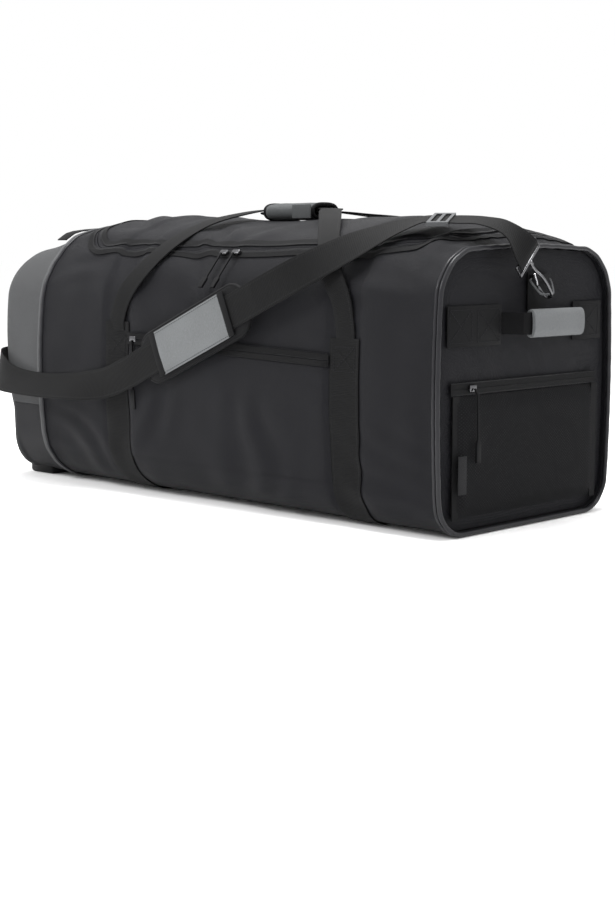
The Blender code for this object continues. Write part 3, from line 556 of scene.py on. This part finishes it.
def strip_along(name, stations, width, thickness, bow=0.0, pieces=6):
    """A band through stations of (point, outward normal), on a smooth curve."""
    points = smooth_path([(Vector(p), Vector(n).normalized()) for p, n in stations], pieces)
    middle, sides, normals = [], [], []
    for i, (p, n) in enumerate(points):
        ahead = points[min(i + 1, len(points) - 1)][0] - points[max(i - 1, 0)][0]
        side = ahead.normalized().cross(n).normalized()
        middle.append(p)
        sides.append(side)
        normals.append(side.cross(ahead).normalized())
    return strip(name, middle, sides, normals, width, thickness, bow)


def smooth_path(points, steps):
    out = []
    last = len(points) - 1
    for i in range(last):
        around = [points[max(i - 1, 0)], points[i], points[i + 1], points[min(i + 2, last)]]
        for k in range(steps):
            out.append(tuple(catmull([p[c] for p in around], k / steps) for c in range(2)))
    out.append(points[-1])
    return out


def catmull(p, t):
    return 0.5 * (
        2 * p[1]
        + (p[2] - p[0]) * t
        + (2 * p[0] - 5 * p[1] + 4 * p[2] - p[3]) * t**2
        + (3 * p[1] - p[0] - 3 * p[2] + p[3]) * t**3
    )


def tube(name, path, radius, sides=10, closed=True):
    rings = []
    count = len(path)
    across = None
    for i, p in enumerate(path):
        before = path[i - 1] if closed or i else p
        after = path[(i + 1) % count] if closed or i < count - 1 else p
        along = (after - before).normalized()
        if across is None:
            across = Vector((1, 0, 0)) if abs(along.x) < 0.7 else along.orthogonal()
        across = (across - along * across.dot(along)).normalized()
        up = along.cross(across)
        turns = [2 * pi * k / sides for k in range(sides)]
        rings.append([p + (across * cos(a) + up * sin(a)) * radius for a in turns])
    return grid(name, rings, around=True, joined=closed, capped=not closed)


def polish(node, body, look, bevel=0.0006, segments=2, rounds=0):
    """The CAD piece with its edges eased, as a moulded or cast piece has them."""
    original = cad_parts[node]
    obj = original.copy()
    obj.data = original.data.copy()
    obj.name = node + "_fine"
    obj.parent = None
    for key in list(obj.keys()):
        del obj[key]
    bpy.context.scene.collection.objects.link(obj)
    select_only(obj)
    bpy.ops.object.mode_set(mode="EDIT")
    bpy.ops.mesh.select_all(action="SELECT")
    bpy.ops.mesh.remove_doubles(threshold=0.00002)
    bpy.ops.mesh.tris_convert_to_quads(face_threshold=radians(20), shape_threshold=radians(60))
    bpy.ops.object.mode_set(mode="OBJECT")
    if rounds:
        step = obj.modifiers.new("round", "SUBSURF")
        step.levels = rounds
        step.render_levels = rounds
    if bevel:
        step = obj.modifiers.new("eased", "BEVEL")
        step.width = bevel
        step.segments = segments
        step.limit_method = "ANGLE"
        step.angle_limit = radians(35)
        step.use_clamp_overlap = True
    apply_all(obj)
    return keep(obj, body, look, node, angle=40)


def cutter(name, rows):
    obj = grid(name, rows, around=True, capped=True)
    obj.hide_render = True
    return obj


def combine(obj, other, operation):
    step = obj.modifiers.new("cut", "BOOLEAN")
    step.operation = operation
    step.solver = "EXACT"
    step.object = other
    apply_all(obj)
    bpy.data.objects.remove(other)


# The bag's cloth.


def stations(start, end, spacing):
    count = max(2, round(abs(end - start) / spacing))
    return [start + (end - start) * k / count for k in range(count + 1)]


def body_cloth(name):
    xs = stations(X_SEAM, X_END, 0.0085)
    outer = [skin(x) for x in xs]
    inner = [skin(x, depth=CLOTH) for x in reversed(xs)]
    return grid(name, outer + inner, around=True, joined=True)


def lid_outline(grow, back):
    x0, x1 = LID_X[0] - grow, LID_X[1] + grow
    y0 = LID_Y[0] - grow
    points = [(x1, back)]
    for middle, start in ((x1 - LID_R, 0), (x0 + LID_R, -90)):
        for k in range(13):
            a = radians(start - 7.5 * k)
            points.append((middle + LID_R * cos(a), y0 + LID_R + LID_R * sin(a)))
    points.append((x0, back))
    return points


def lid_block(grow, back):
    outline = lid_outline(grow, back)
    return cutter("lid_block", [[Vector((x, y, z)) for x, y in outline] for z in (0.27, 0.50)])


def make_body(looks):
    shell = body_cloth("body_cloth")
    combine(shell, lid_block(0.0, LID_Y[1]), "DIFFERENCE")
    keep(shell, "bag", looks["ripstop"], "main_shell")
    lid = body_cloth("lid_cloth")
    combine(lid, lid_block(-LID_SLIT, LID_Y[1] - LID_SLIT), "INTERSECT")
    keep(lid, "lid", looks["ripstop"], "lid_flap")


def make_lid_zips(looks):
    """Tape and coil on both sides of the lid's slit, following the cloth."""
    for name, grow, body, node, flip in (
        ("zip_tape_body", 0.0068, "bag", "main_zip", 1),
        ("zip_tape_lid", -0.0076, "lid", "lid_zip", -1),
    ):
        outline = lid_outline(grow, LID_Y[1] - 0.006)
        places = []
        for (x0, y0), (x1, y1) in zip(outline, outline[1:]):
            pieces = max(1, round(sqrt((x1 - x0) ** 2 + (y1 - y0) ** 2) / 0.008))
            places += [(x0 + (x1 - x0) * k / pieces, y0 + (y1 - y0) * k / pieces) for k in range(pieces)]
        places.append(outline[-1])
        middle, sides, normals = [], [], []
        for i, (x, y) in enumerate(places):
            p = top_skin(x, y, 0.0006)
            slope_x = (top_skin(x + 0.004, y).z - top_skin(x - 0.004, y).z) / 0.008
            slope_y = (top_skin(x, y + 0.004).z - top_skin(x, y - 0.004).z) / 0.008
            normals.append(Vector((-slope_x, -slope_y, 1)).normalized())
            middle.append(p)
        for i, p in enumerate(middle):
            ahead = middle[min(i + 1, len(middle) - 1)] - middle[max(i - 1, 0)]
            sides.append(ahead.normalized().cross(normals[i]).normalized() * flip)
        made = strip(name, middle, sides, normals, 0.012, 0.0011)
        keep(made, body, looks["zip"], node)


def cap_ring(x, out, round_step):
    """A ring of the wheel end's cap, from its open edge (step 0) to its flat end (step 1)."""
    a = radians(90 * round_step)
    turned_in = 1 - cos(a)
    bottom_r = corner_radii(X_SEAM)[1] + out - CAP_SQUARE * round_step
    outline = section(X_SEAM, out - CAP_ROUND * turned_in, out - CAP_UNDER * turned_in, bottom_r)
    ring = []
    for y, z in outline:
        p = Vector((x, *swell(x, y, z)))
        height = min(max((p.z - 0.12) / 0.25, 0.0), 1.0)
        near_end = min(max((-0.440 - p.x) / 0.05, 0.0), 1.0)
        p.x -= CAP_BULGE * sin(pi * height) ** 0.7 * near_end
        dent = noise.noise(p * 9 + Vector((5, 5, 5))) * 0.0018 + noise.noise(p * 22) * 0.0008
        away = Vector((0, p.y, p.z - HEIGHT / 2)).normalized()
        ring.append(p + away * (dent * smooth_step(0.0, 0.02, p.z - FLOOR) - 0.0004))
    return ring


def cap_rows(out, end):
    rows = [cap_ring(x, out, 0.0) for x in stations(CAP_EDGE, end + CAP_ROUND, 0.009)[:-1]]
    for k in range(13):
        a = radians(7.5 * k)
        rows.append(cap_ring(end + CAP_ROUND * (1 - sin(a)), out, k / 12))
    flat = rows[-1]
    middle = HEIGHT / 2
    for scale in (0.88, 0.74, 0.6, 0.46, 0.32, 0.18, 0.06):
        row = []
        for p in flat:
            q = Vector((p.x, p.y * scale, middle + (p.z - middle) * scale))
            height = min(max((q.z - 0.12) / 0.25, 0.0), 1.0)
            q.x = end - CAP_BULGE * sin(pi * height) ** 0.7
            q.x += noise.noise(q * 10) * 0.0022
            row.append(q)
        rows.append(row)
    return rows


def make_cap(looks):
    """The wheel end's cap, gray above its seam and black below, with gaps for the housings."""
    for name, node, look, z0, z1 in (
        ("cap_cloth", "wheel_end_cap", "melange", CAP_SEAM + 0.0003, 0.6),
        ("cap_base_cloth", "wheel_end_base", "ripstop", -0.1, CAP_SEAM - 0.0003),
    ):
        rows = cap_rows(0.0, X_WHEEL)[::-1] + cap_rows(-0.003, X_WHEEL + 0.003)
        cap = grid(name, rows, around=True, capped=True)
        low, high = (-0.6, -0.3, z0), (-0.3, 0.3, z1)
        combine(cap, block_cutter(low, high), "INTERSECT")
        if node == "wheel_end_base":
            for side in (-1, 1):
                low = (-0.6, side * 0.124 - 0.0254, -0.1)
                high = (-0.4414, side * 0.124 + 0.0254, 0.0624)
                combine(cap, block_cutter(low, high), "DIFFERENCE")
        keep(cap, "bag", looks[look], node)


def block_cutter(low, high):
    (x0, y0, z0), (x1, y1, z1) = low, high
    rows = []
    for z in (z0, z1):
        rows.append([Vector((x0, y0, z)), Vector((x1, y0, z)), Vector((x1, y1, z)), Vector((x0, y1, z))])
    return cutter("block", rows)


def make_piping(looks):
    """Two cords side by side round each end: the seam's piping and its bound edge."""
    for name, node, x, first, second, gap in (
        ("end_piping", "mesh_end_piping", X_END + 0.0044, "piping_dark", "piping_dark", -0.0062),
        ("seam_piping", "wheel_end_piping", X_SEAM - 0.0044, "piping_gray", "piping_dark", 0.0064),
    ):
        base = skin(min(max(x, X_SEAM), X_END))
        keep(tube(name, [Vector((x, p.y, p.z)) for p in base], 0.0034), "bag", looks[first], node)
        middle = HEIGHT / 2
        other = [Vector((x + gap, p.y * 1.004, middle + (p.z - middle) * 1.004)) for p in base]
        keep(tube(name + "_binding", other, 0.0026), "bag", looks[second])


def make_webbing(looks):
    """The straps round the bag, lying on its cloth."""
    for name, x in (("webbing_left", WEB_X[0]), ("webbing_right", WEB_X[1])):
        across = [-0.5, -0.46, -0.25, 0.0, 0.25, 0.46, 0.5]
        rings = [skin(x + WEB_W * t, 0.0011) for t in across]
        order = sorted(range(len(rings[3])), key=lambda i: round_angle(rings[3][i]))
        kept = [i for i in order if rings[3][i].z < WEB_TOP]
        rows, uv, distance = [], [], 0.0
        for n, i in enumerate(kept):
            if n:
                distance += (rings[3][i] - rings[3][kept[n - 1]]).length
            rows.append([ring[i] for ring in rings])
            uv.append([(distance, WEB_W * t) for t in across])
        made = solid(grid(name + "_band", rows, uv=uv), 0.0015, 1.0, 0.0004)
        keep(made, "bag", looks["webbing"], name)


def round_angle(p):
    """Where a point comes on the way round the bag, which starts and ends on its top."""
    return -((atan2(p.z - HEIGHT / 2, p.y) + 1.5 * pi) % (2 * pi))


def make_handles(looks):
    """The carry handles: webbing from the tops of the side straps over the bag, into the wrap."""
    z = 0.2775
    left, right = WEB_X
    for side, name, drop in ((-1, "handle_front", 0.0), (1, "handle_back", 0.0042)):
        left_y = -front_skin(left, z, 0.0012).y
        right_y = -front_skin(right, z, 0.0012).y
        top = WRAP.z + 0.0022 - drop
        route = [
            ((left, left_y, z - 0.020), (0, 1, 0)),
            ((left, left_y + 0.0004, z), (0, 1, 0)),
            ((left + 0.018, left_y, 0.315), (0, 1, 0.1)),
            ((left + 0.050, 0.194, 0.352), (0, 1, 0.5)),
            ((left + 0.080, 0.162, 0.392), (0, 0.75, 0.8)),
            ((left + 0.100, 0.104, 0.4245), (0, 0.4, 1)),
            ((left + 0.118, 0.036, top - 0.005), (0, 0.1, 1)),
            ((left + 0.138, 0.002, top), (0, 0, 1)),
            ((0.0, 0.0, top), (0, 0, 1)),
            ((0.075, 0.002, top), (0, 0, 1)),
            ((right - 0.178, 0.040, top - 0.005), (0, 0.1, 1)),
            ((right - 0.118, 0.104, 0.4245), (0, 0.4, 1)),
            ((right - 0.065, 0.162, 0.392), (0, 0.75, 0.8)),
            ((right - 0.028, 0.194, 0.352), (0, 1, 0.4)),
            ((right - 0.008, right_y, 0.315), (0, 1, 0.1)),
            ((right, right_y + 0.0004, z), (0, 1, 0)),
            ((right, right_y, z - 0.020), (0, 1, 0)),
        ]
        placed = [((x, side * y, h), (0, side * ny, nz)) for (x, y, h), (_, ny, nz) in route]
        made = strip_along(name + "_band", placed, 0.034, 0.0022, 0.0006)
        keep(made, None, looks["handle_web"], name)
        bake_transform(made)


def superellipse(x, y, z, half_y, half_z, count=48, power=0.75):
    points = []
    for k in range(count):
        a = 2 * pi * k / count
        c, s = cos(a), sin(a)
        across = half_y * abs(c) ** power * (1 if c > 0 else -1)
        up = half_z * abs(s) ** power * (1 if s > 0 else -1)
        points.append(Vector((x, y + across, z + up)))
    return points


def make_wrap(looks):
    """The padded wrap that holds both handles, with its bound ends."""
    half = 0.052
    xs = [WRAP.x + half * t for t in (-1, -0.96, -0.8, -0.5, -0.2, 0.2, 0.5, 0.8, 0.96, 1)]
    swelling = [0.90, 0.98, 1.04, 1.07, 1.04, 1.05, 1.07, 1.04, 0.98, 0.90]
    outer = [superellipse(x, 0, WRAP.z, 0.0285 * s, 0.0128 * s) for x, s in zip(xs, swelling)]
    inner = [superellipse(x, 0, WRAP.z, 0.0245, 0.0086) for x in reversed(xs)]
    made = grid("wrap_padding", outer + inner, around=True, joined=True)
    keep(made, "front_handle", looks["lining"], "handle_wrap")
    for n, x in enumerate((WRAP.x - half, WRAP.x + half)):
        ring = superellipse(x, 0, WRAP.z, 0.0270, 0.0113)
        keep(tube("wrap_binding_%d" % n, ring, 0.0028), "front_handle", looks["binding"])


# The pocket end.


def make_end_panel(looks):
    """The end's cloth, pulled in round its edge, with soft ripples over it."""
    border = skin(X_END - 0.0012, depth=0.0042)
    rows = []
    middle = HEIGHT / 2
    for scale in (1.0, 0.985, 0.96, 0.92, 0.86, 0.78, 0.69, 0.6, 0.5, 0.4, 0.3, 0.2, 0.1, 0.03):
        row = []
        for p in border:
            y = p.y * scale
            z = middle + (p.z - middle) * scale
            inside = smooth_step(1.0, 0.88, scale)
            q = Vector((0.3, y, z))
            ripple = noise.noise(q * 9) * 0.0016 + fold(q, (0, 0.7, 0.9), 0.05, 4.0) * 0.0009
            flat = PANEL_X - 0.0022 + min(ripple, 0.0012)
            row.append(Vector((flat * inside + (PANEL_X - 0.0040) * (1 - inside), y, z)))
        rows.append(row)
    back = [[Vector((PANEL_X - 0.0045, p.y, p.z)) for p in row] for row in (rows[0], rows[6], rows[-1])]
    made = grid("end_cloth", rows[::-1] + back, around=True, capped=True)
    keep(made, "bag", looks["ripstop"], "mesh_end_panel")


def stitch_lines(name, body, look, lines, dash=0.0028, gap=0.0016, wide=0.0006):
    """Rows of stitches: each is a short raised thread on the line from a to b, above normal n."""
    bm = bmesh.new()
    for a, b, n in lines:
        a, b, n = Vector(a), Vector(b), Vector(n).normalized()
        along = (b - a).normalized()
        side = along.cross(n) * wide / 2
        count = max(1, int((b - a).length / (dash + gap)))
        for k in range(count):
            start = a + (b - a) * k / count
            ring = []
            for t, lift in ((0.0, -0.0002), (0.2, 0.0005), (0.8, 0.0005), (1.0, -0.0002)):
                p = start + along * dash * t + n * lift
                under = n * 0.0004
                corners = (p - side - under, p + side - under, p + side, p - side)
                ring.append([bm.verts.new(q) for q in corners])
            for one, two in zip(ring, ring[1:]):
                for i in range(4):
                    bm.faces.new((one[i], one[(i + 1) % 4], two[(i + 1) % 4], two[i]))
            bm.faces.new(ring[0][::-1])
            bm.faces.new(ring[-1])
    return keep(as_object(name, bm), body, look, smooth=False)


def crossed_box(at, u, v, n, half_u, half_v):
    """The lines of a box of stitches with a cross in it."""
    at, u, v = Vector(at), Vector(u).normalized(), Vector(v).normalized()
    c = [at + u * half_u * i + v * half_v * j for i, j in ((-1, -1), (1, -1), (1, 1), (-1, 1))]
    ends = ((0, 1), (1, 2), (2, 3), (3, 0), (0, 2), (1, 3))
    return [(c[i], c[j], n) for i, j in ends]


def front_line(x0, z0, x1, z1, out, pieces=10):
    """Lines that follow the front's cloth between two places on it."""
    places = [(x0 + (x1 - x0) * k / pieces, z0 + (z1 - z0) * k / pieces) for k in range(pieces + 1)]
    points = [front_skin(x, z, out) for x, z in places]
    return [(a, b, (0, -1, 0.15)) for a, b in zip(points, points[1:])]


def zip_height(x):
    return 0.242 - 0.035 * x


def make_front_pocket(looks):
    """The flat front pocket between the straps, its two-tape zip and its stitching."""
    x0, x1 = WEB_X[0] + WEB_W / 2 + 0.001, WEB_X[1] - WEB_W / 2 - 0.001
    rows = []
    for x in stations(x0, x1, 0.009):
        top = zip_height(x) - 0.004
        column = []
        for k in range(25):
            z = 0.062 + (top - 0.062) * k / 24
            soft = sin(pi * (z - 0.062) / (top - 0.062)) ** 0.5
            soft *= sin(pi * (x - x0) / (x1 - x0)) ** 0.4
            puff = 0.0026 * soft if 0 < k < 24 else 0.0
            column.append(front_skin(x, z, 0.0012 + puff))
        rows.append(column)
    made = solid(grid("front_pocket_cloth", rows), 0.0012, 0.0)
    keep(made, "bag", looks["ripstop"], "front_pocket")
    for name, rise_by, nodes in (
        ("front_zip_low", -0.0046, ("front_zip",)),
        ("front_zip_high", 0.0046, ()),
    ):
        middle, sides, normals = [], [], []
        for x in stations(x0 - 0.0005, x1 + 0.0005, 0.010):
            middle.append(front_skin(x, zip_height(x) + rise_by, 0.0034))
            normals.append(Vector((0, -1, 0.1)).normalized())
        for i, p in enumerate(middle):
            ahead = middle[min(i + 1, len(middle) - 1)] - middle[max(i - 1, 0)]
            side = ahead.normalized().cross(normals[i]).normalized()
            sides.append(side if rise_by > 0 else -side)
        made = strip(name, middle, sides, normals, 0.0088, 0.0012)
        keep(made, "bag", looks["zip"], *nodes)
    lines = []
    for rise_by in (-0.0105, 0.0100):
        lines += front_line(x0, zip_height(x0) + rise_by, x1, zip_height(x1) + rise_by, 0.0030, 40)
    stitch_lines("front_zip_stitches", "bag", looks["thread"], lines)


def strap_end(end):
    """The strap's two points nearest a ring, lying along the hook that hangs from it."""
    out = Vector((end["side"], 0, 0))
    bar = Vector((end["face"], end["y"], end["z"])) + out * (0.0042 + RING_DROP * sin(RING_TILT))
    bar -= Vector((0, 0, RING_DROP * cos(RING_TILT)))
    along = Vector(end["way"]).normalized()
    away = (out - along * out.dot(along)).normalized()
    return [(bar + along * s + away * 0.0030, away) for s in (0.0735, 0.0885)]


def strap_points():
    """The shoulder strap's route, as (point on its inner face, outward normal)."""
    over = [
        ((0.4640, -0.0660, 0.4140), (0.5, -0.2, 1)),
        ((0.4380, -0.0820, 0.4240), (0.1, -0.2, 1)),
        *((ADJUST[0].lerp(ADJUST[1], t), (0, -0.25, 1)) for t in (0.0, 0.33, 0.67, 1.0)),
        ((0.3250, -0.1480, 0.4120), (0, -0.6, 0.9)),
        ((0.2820, -0.1830, 0.3880), (0, -1, 0.5)),
        ((0.2200, -0.2165, 0.3540), (0, -1, 0.1)),
    ]
    pad = [(PAD_START.lerp(PAD_END, t), (0, -1, 0)) for t in (0.0, 0.12, 0.5, 0.88, 1.0)]
    under = [
        ((-0.2100, -0.2225, 0.1750), (0, -1, 0.2)),
        ((-0.3000, -0.2290, 0.1660), (0, -0.8, 0.6)),
        ((-0.3900, -0.2320, 0.1650), (0, -0.7, 0.7)),
        ((-0.4700, -0.2240, 0.1720), (-0.3, -0.8, 0.6)),
        ((-0.5260, -0.1920, 0.1900), (-0.9, -0.8, 0.2)),
        ((-0.5455, -0.1430, 0.1940), (-1, -0.2, 0)),
        ((-0.5505, -0.1080, 0.2040), (-1, 0, 0)),
    ]
    return strap_end(ENDS[0]) + over + pad + under + strap_end(ENDS[1])[::-1]


def make_strap(looks):
    """The shoulder strap: one long band of webbing on the route of the CAD's strap."""
    route = [(Vector(p), Vector(n).normalized()) for p, n in strap_points()]
    made = strip_along("shoulder_strap_band", route, 0.050, 0.0014, 0.0, 8)
    keep(made, "strap", looks["strap_web"], "shoulder_strap")


def pad_outline(half_length, half_width, radius):
    points = []
    for start, a0 in ((1, -90), (-1, 90)):
        for k in range(17):
            a = radians(a0 + 180 * k / 16)
            flat = start * (half_length - radius)
            points.append((flat + radius * cos(a), half_width * sin(a)))
    return points


def make_pad(looks):
    """The shoulder pad, stuffed and bound round its edge, with the ribbed patch on its face."""
    along = (PAD_END - PAD_START).normalized()
    middle = PAD_START.lerp(PAD_END, 0.5)
    up = Vector((-along.z, 0, along.x))
    depth = Vector((0, 1, 0))
    rows = []
    profile = (
        (0.030, 0.0010),
        (0.016, 0.0007),
        (0.006, 0.0010),
        (0.0015, 0.0022),
        (0.0, 0.0048),
        (0.0015, 0.0076),
        (0.006, 0.0092),
        (0.016, 0.0098),
        (0.030, 0.0098),
    )
    for inset, back in profile:
        outline = pad_outline(0.127 - inset, 0.040 - inset, 0.030 - inset * 0.7)
        rows.append([middle + along * a + up * b + depth * back for a, b in outline])
    made = grid("pad_cushion", rows, around=True, capped=True)
    keep(made, "pad", looks["pad"], "shoulder_pad")
    outline = pad_outline(0.1252, 0.0378, 0.0290)
    edge = [middle + along * a + up * b + depth * 0.0050 for a, b in outline]
    keep(tube("pad_binding", edge, 0.0034), "pad", looks["binding"])
    half = 0.034
    rows, uv = [], []
    for b in [half * (k / 8 - 1) for k in range(17)]:
        row, place = [], []
        for a in stations(-0.080, 0.080, 0.004):
            bulge = 0.0010 * (1 - (b / half) ** 2)
            row.append(middle + along * a + up * b - depth * (0.0022 + bulge))
            place.append((a, b))
        rows.append(row)
        uv.append(place)
    patch = solid(grid("pad_patch_cloth", rows, uv=uv), 0.0009, 0.0, 0.0003)
    keep(patch, "pad", looks["patch"], "pad_patch")
    lines = []
    face = middle - depth * 0.0031
    for a0, b0, a1, b1 in ((-0.077, -0.031, 0.077, -0.031), (0.077, -0.031, 0.077, 0.031),
                           (0.077, 0.031, -0.077, 0.031), (-0.077, 0.031, -0.077, -0.031)):
        lines.append((face + along * a0 + up * b0, face + along * a1 + up * b1, -depth))
    stitch_lines("pad_patch_stitches", "pad", looks["thread"], lines)
    for side in (-1, 1):
        a = along * side * 0.083
        band_rows = []
        for b in (-0.034, 0.034):
            edge = middle + a + up * b - depth * 0.0031
            band_rows.append([edge + along * t for t in (-0.006, 0.0, 0.006)])
        tab = solid(grid("pad_tab_%d" % side, band_rows), 0.0012, 0.0, 0.0003)
        keep(tab, "pad", looks["binding"])


def make_mesh_pocket(looks):
    """The netting pocket on the end, with its bound edges and zip."""
    rows, uv = [], []
    for y in stations(-0.163, 0.168, 0.008):
        row, place = [], []
        for z in stations(0.026, 0.1905, 0.008):
            edge = min(y + 0.163, 0.168 - y, (z - 0.026), 0.1905 - z)
            slack = noise.noise(Vector((0.2, y * 14, z * 14))) * 0.0010
            lift = smooth_step(0.0, 0.02, edge) * 0.0072 + slack
            row.append(Vector((0.4518 + lift, y, z)))
            place.append((y, z))
        rows.append(row)
        uv.append(place)
    made = solid(grid("mesh_pocket_net", rows, uv=uv), 0.0005, 0.0)
    keep(made, "bag", looks["mesh"], "mesh_pocket")
    for name, y in (("mesh_edge_front", -0.158), ("mesh_edge_back", 0.163)):
        stations_z = [((0.4530, y, z), (1, 0, 0)) for z in (0.024, 0.08, 0.14, 0.192)]
        keep(strip_along(name, stations_z, 0.014, 0.0016), "bag", looks["binding"])
    for name, z, flip in (("end_zip_low", 0.1966, -1), ("end_zip_high", 0.2054, 1)):
        middle = [Vector((0.4523, y, z)) for y in stations(-0.168, 0.166, 0.012)]
        sides = [Vector((0, 0, flip)) for _ in middle]
        normals = [Vector((1, 0, 0)) for _ in middle]
        band = strip(name, middle, sides, normals, 0.0086, 0.0011)
        keep(band, "bag", looks["zip"], *(("end_zip",) if flip < 0 else ()))


def make_end_fittings(looks):
    polish("end_handle_grip", "bag", looks["patch"], 0.0025, 4)
    lines = []
    for y in (-0.118 - 0.030, -0.118 + 0.030):
        lines += crossed_box((0.4532, y, 0.2845), (0, 1, 0), (0, 0, 1), (1, 0, 0), 0.024, 0.022)
    lines += crossed_box((0.4532, 0.143, 0.2845), (0, 1, 0), (0, 0, 1), (1, 0, 0), 0.028, 0.022)
    stitch_lines("anchor_stitches", "bag", looks["thread"], lines)
    polish("wheel_end_loop", "bag", looks["binding"], 0.0004)
    polish("wrap_flap", "flap", looks["lining"], 0.0008, 3)


def make_box_stitches(looks):
    lines = []
    for x in WEB_X:
        p = front_skin(x, 0.250, 0.0030)
        q = front_skin(x, 0.222, 0.0030)
        lines += crossed_box(p.lerp(q, 0.5), (1, 0, 0), p - q, (0, -1, 0.1), 0.019, 0.017)
    stitch_lines("strap_box_stitches", "bag", looks["thread"], lines)


def finish_cad_nodes(looks):
    """Looks for the hard pieces, whose edges are eased."""
    bag = "bag"
    for side in ("front", "back"):
        polish("wheel_housing_" + side, bag, looks["nylon"], 0.0012, 3)
    for side in ("front", "back"):
        polish("tyre_" + side, "wheel_" + side, looks["rubber"], 0.0006)
        polish("hub_" + side, "wheel_" + side, looks["nylon"], 0.0005)
        polish("axle_" + side, bag, looks["steel"], 0.0004)
        polish("housing_rivet_" + side, bag, looks["steel"], 0.0008, 3)
    for end in ("pocket_end", "wheel_end"):
        body = "hook_set_" + end
        polish("ring_" + end, body, looks["gray_plastic"], 0, 0, 1)
        polish("hook_" + end, body, looks["gunmetal"], 0, 0, 1)
        polish("hook_eye_" + end, body, looks["gunmetal"], 0.0003)
        polish("hook_gate_" + end, "gate_" + end, looks["steel"], 0.0002)
        polish("ring_tab_" + end, bag, looks["binding"], 0.0003)
    polish("strap_adjuster", "buckle", looks["gray_plastic"], 0.0008, 3)
    sliders = (
        ("main_slider_left", "slider_left"),
        ("main_slider_right", "slider_right"),
        ("front_slider", "pocket_slider"),
        ("end_slider", "mesh_slider"),
    )
    for name, body in sliders:
        polish(name, body, looks["gunmetal"], 0.0010, 3)
    pulls = (
        ("main_pull_left", "pull_left"),
        ("main_pull_right", "pull_right"),
        ("front_pull", "pocket_pull"),
        ("end_pull", "mesh_pull"),
    )
    for name, body in pulls:
        polish(name, body, looks["cord"], 0.0004, 2)
    polish("bottom_panel", bag, looks["tarpaulin"], 0.0005)
    polish("base_board", bag, looks["board"], 0.0004)
    polish("end_board", bag, looks["board"], 0.0004)
    polish("side_label", bag, looks["label"], 0.0002)
    polish("end_handle_webbing", bag, looks["binding"], 0.0003)
    for side in ("left", "right"):
        polish("handle_anchor_" + side, bag, looks["binding"], 0.0004)


def make_stage():
    floor = grid("floor", [[Vector((x, y, 0)) for x in (-30, 30)] for y in (-30, 30)])
    white = Finish("floor_white", 0.9)
    white.shader.inputs["Base Color"].default_value = (1, 1, 1, 1)
    floor.data.materials.append(white.material)
    world = bpy.data.worlds.new("studio")
    bpy.context.scene.world = world
    world.use_nodes = True
    sky = world.node_tree.nodes["Background"]
    sky.inputs["Color"].default_value = (1, 1, 1, 1)
    sky.inputs["Strength"].default_value = 1.0
    bpy.context.scene.view_settings.view_transform = "Standard"


def make_camera():
    data = bpy.data.cameras.new("camera")
    data.lens = 65.3
    data.sensor_width = 36
    data.clip_end = 100
    camera = bpy.data.objects.new("camera", data)
    camera.location = (1.815, -1.850, 0.39)
    level = Vector((-0.695, 0.719, 0)).normalized()
    pitch = radians(7.1)
    ahead = level * cos(pitch) - Vector((0, 0, sin(pitch)))
    camera.rotation_euler = ahead.to_track_quat("-Z", "Y").to_euler()
    bpy.context.scene.collection.objects.link(camera)
    bpy.context.scene.camera = camera


def softbox(name, place, target, size, power):
    data = bpy.data.lights.new(name, "AREA")
    data.shape = "RECTANGLE"
    data.size, data.size_y = size
    data.energy = power
    lamp = bpy.data.objects.new(name, data)
    lamp.location = place
    lamp.rotation_euler = (Vector(target) - Vector(place)).to_track_quat("-Z", "Y").to_euler()
    bpy.context.scene.collection.objects.link(lamp)


make_camera()
make_stage()
softbox("overhead", (0.0, -0.1, 2.2), (0, 0, 0.2), (1.6, 1.0), 75)
softbox("key", (-1.2, -2.0, 1.9), (-0.1, 0, 0.2), (0.9, 0.9), 45)
softbox("end_light", (2.6, 0.9, 1.6), (0.3, 0, 0.2), (0.8, 0.8), 14)

looks = make_finishes()
make_body(looks)
make_lid_zips(looks)
make_cap(looks)
make_piping(looks)
make_webbing(looks)
make_handles(looks)
make_wrap(looks)
make_end_panel(looks)
make_front_pocket(looks)
make_strap(looks)
make_pad(looks)
make_mesh_pocket(looks)
make_end_fittings(looks)
make_box_stitches(looks)
finish_cad_nodes(looks)
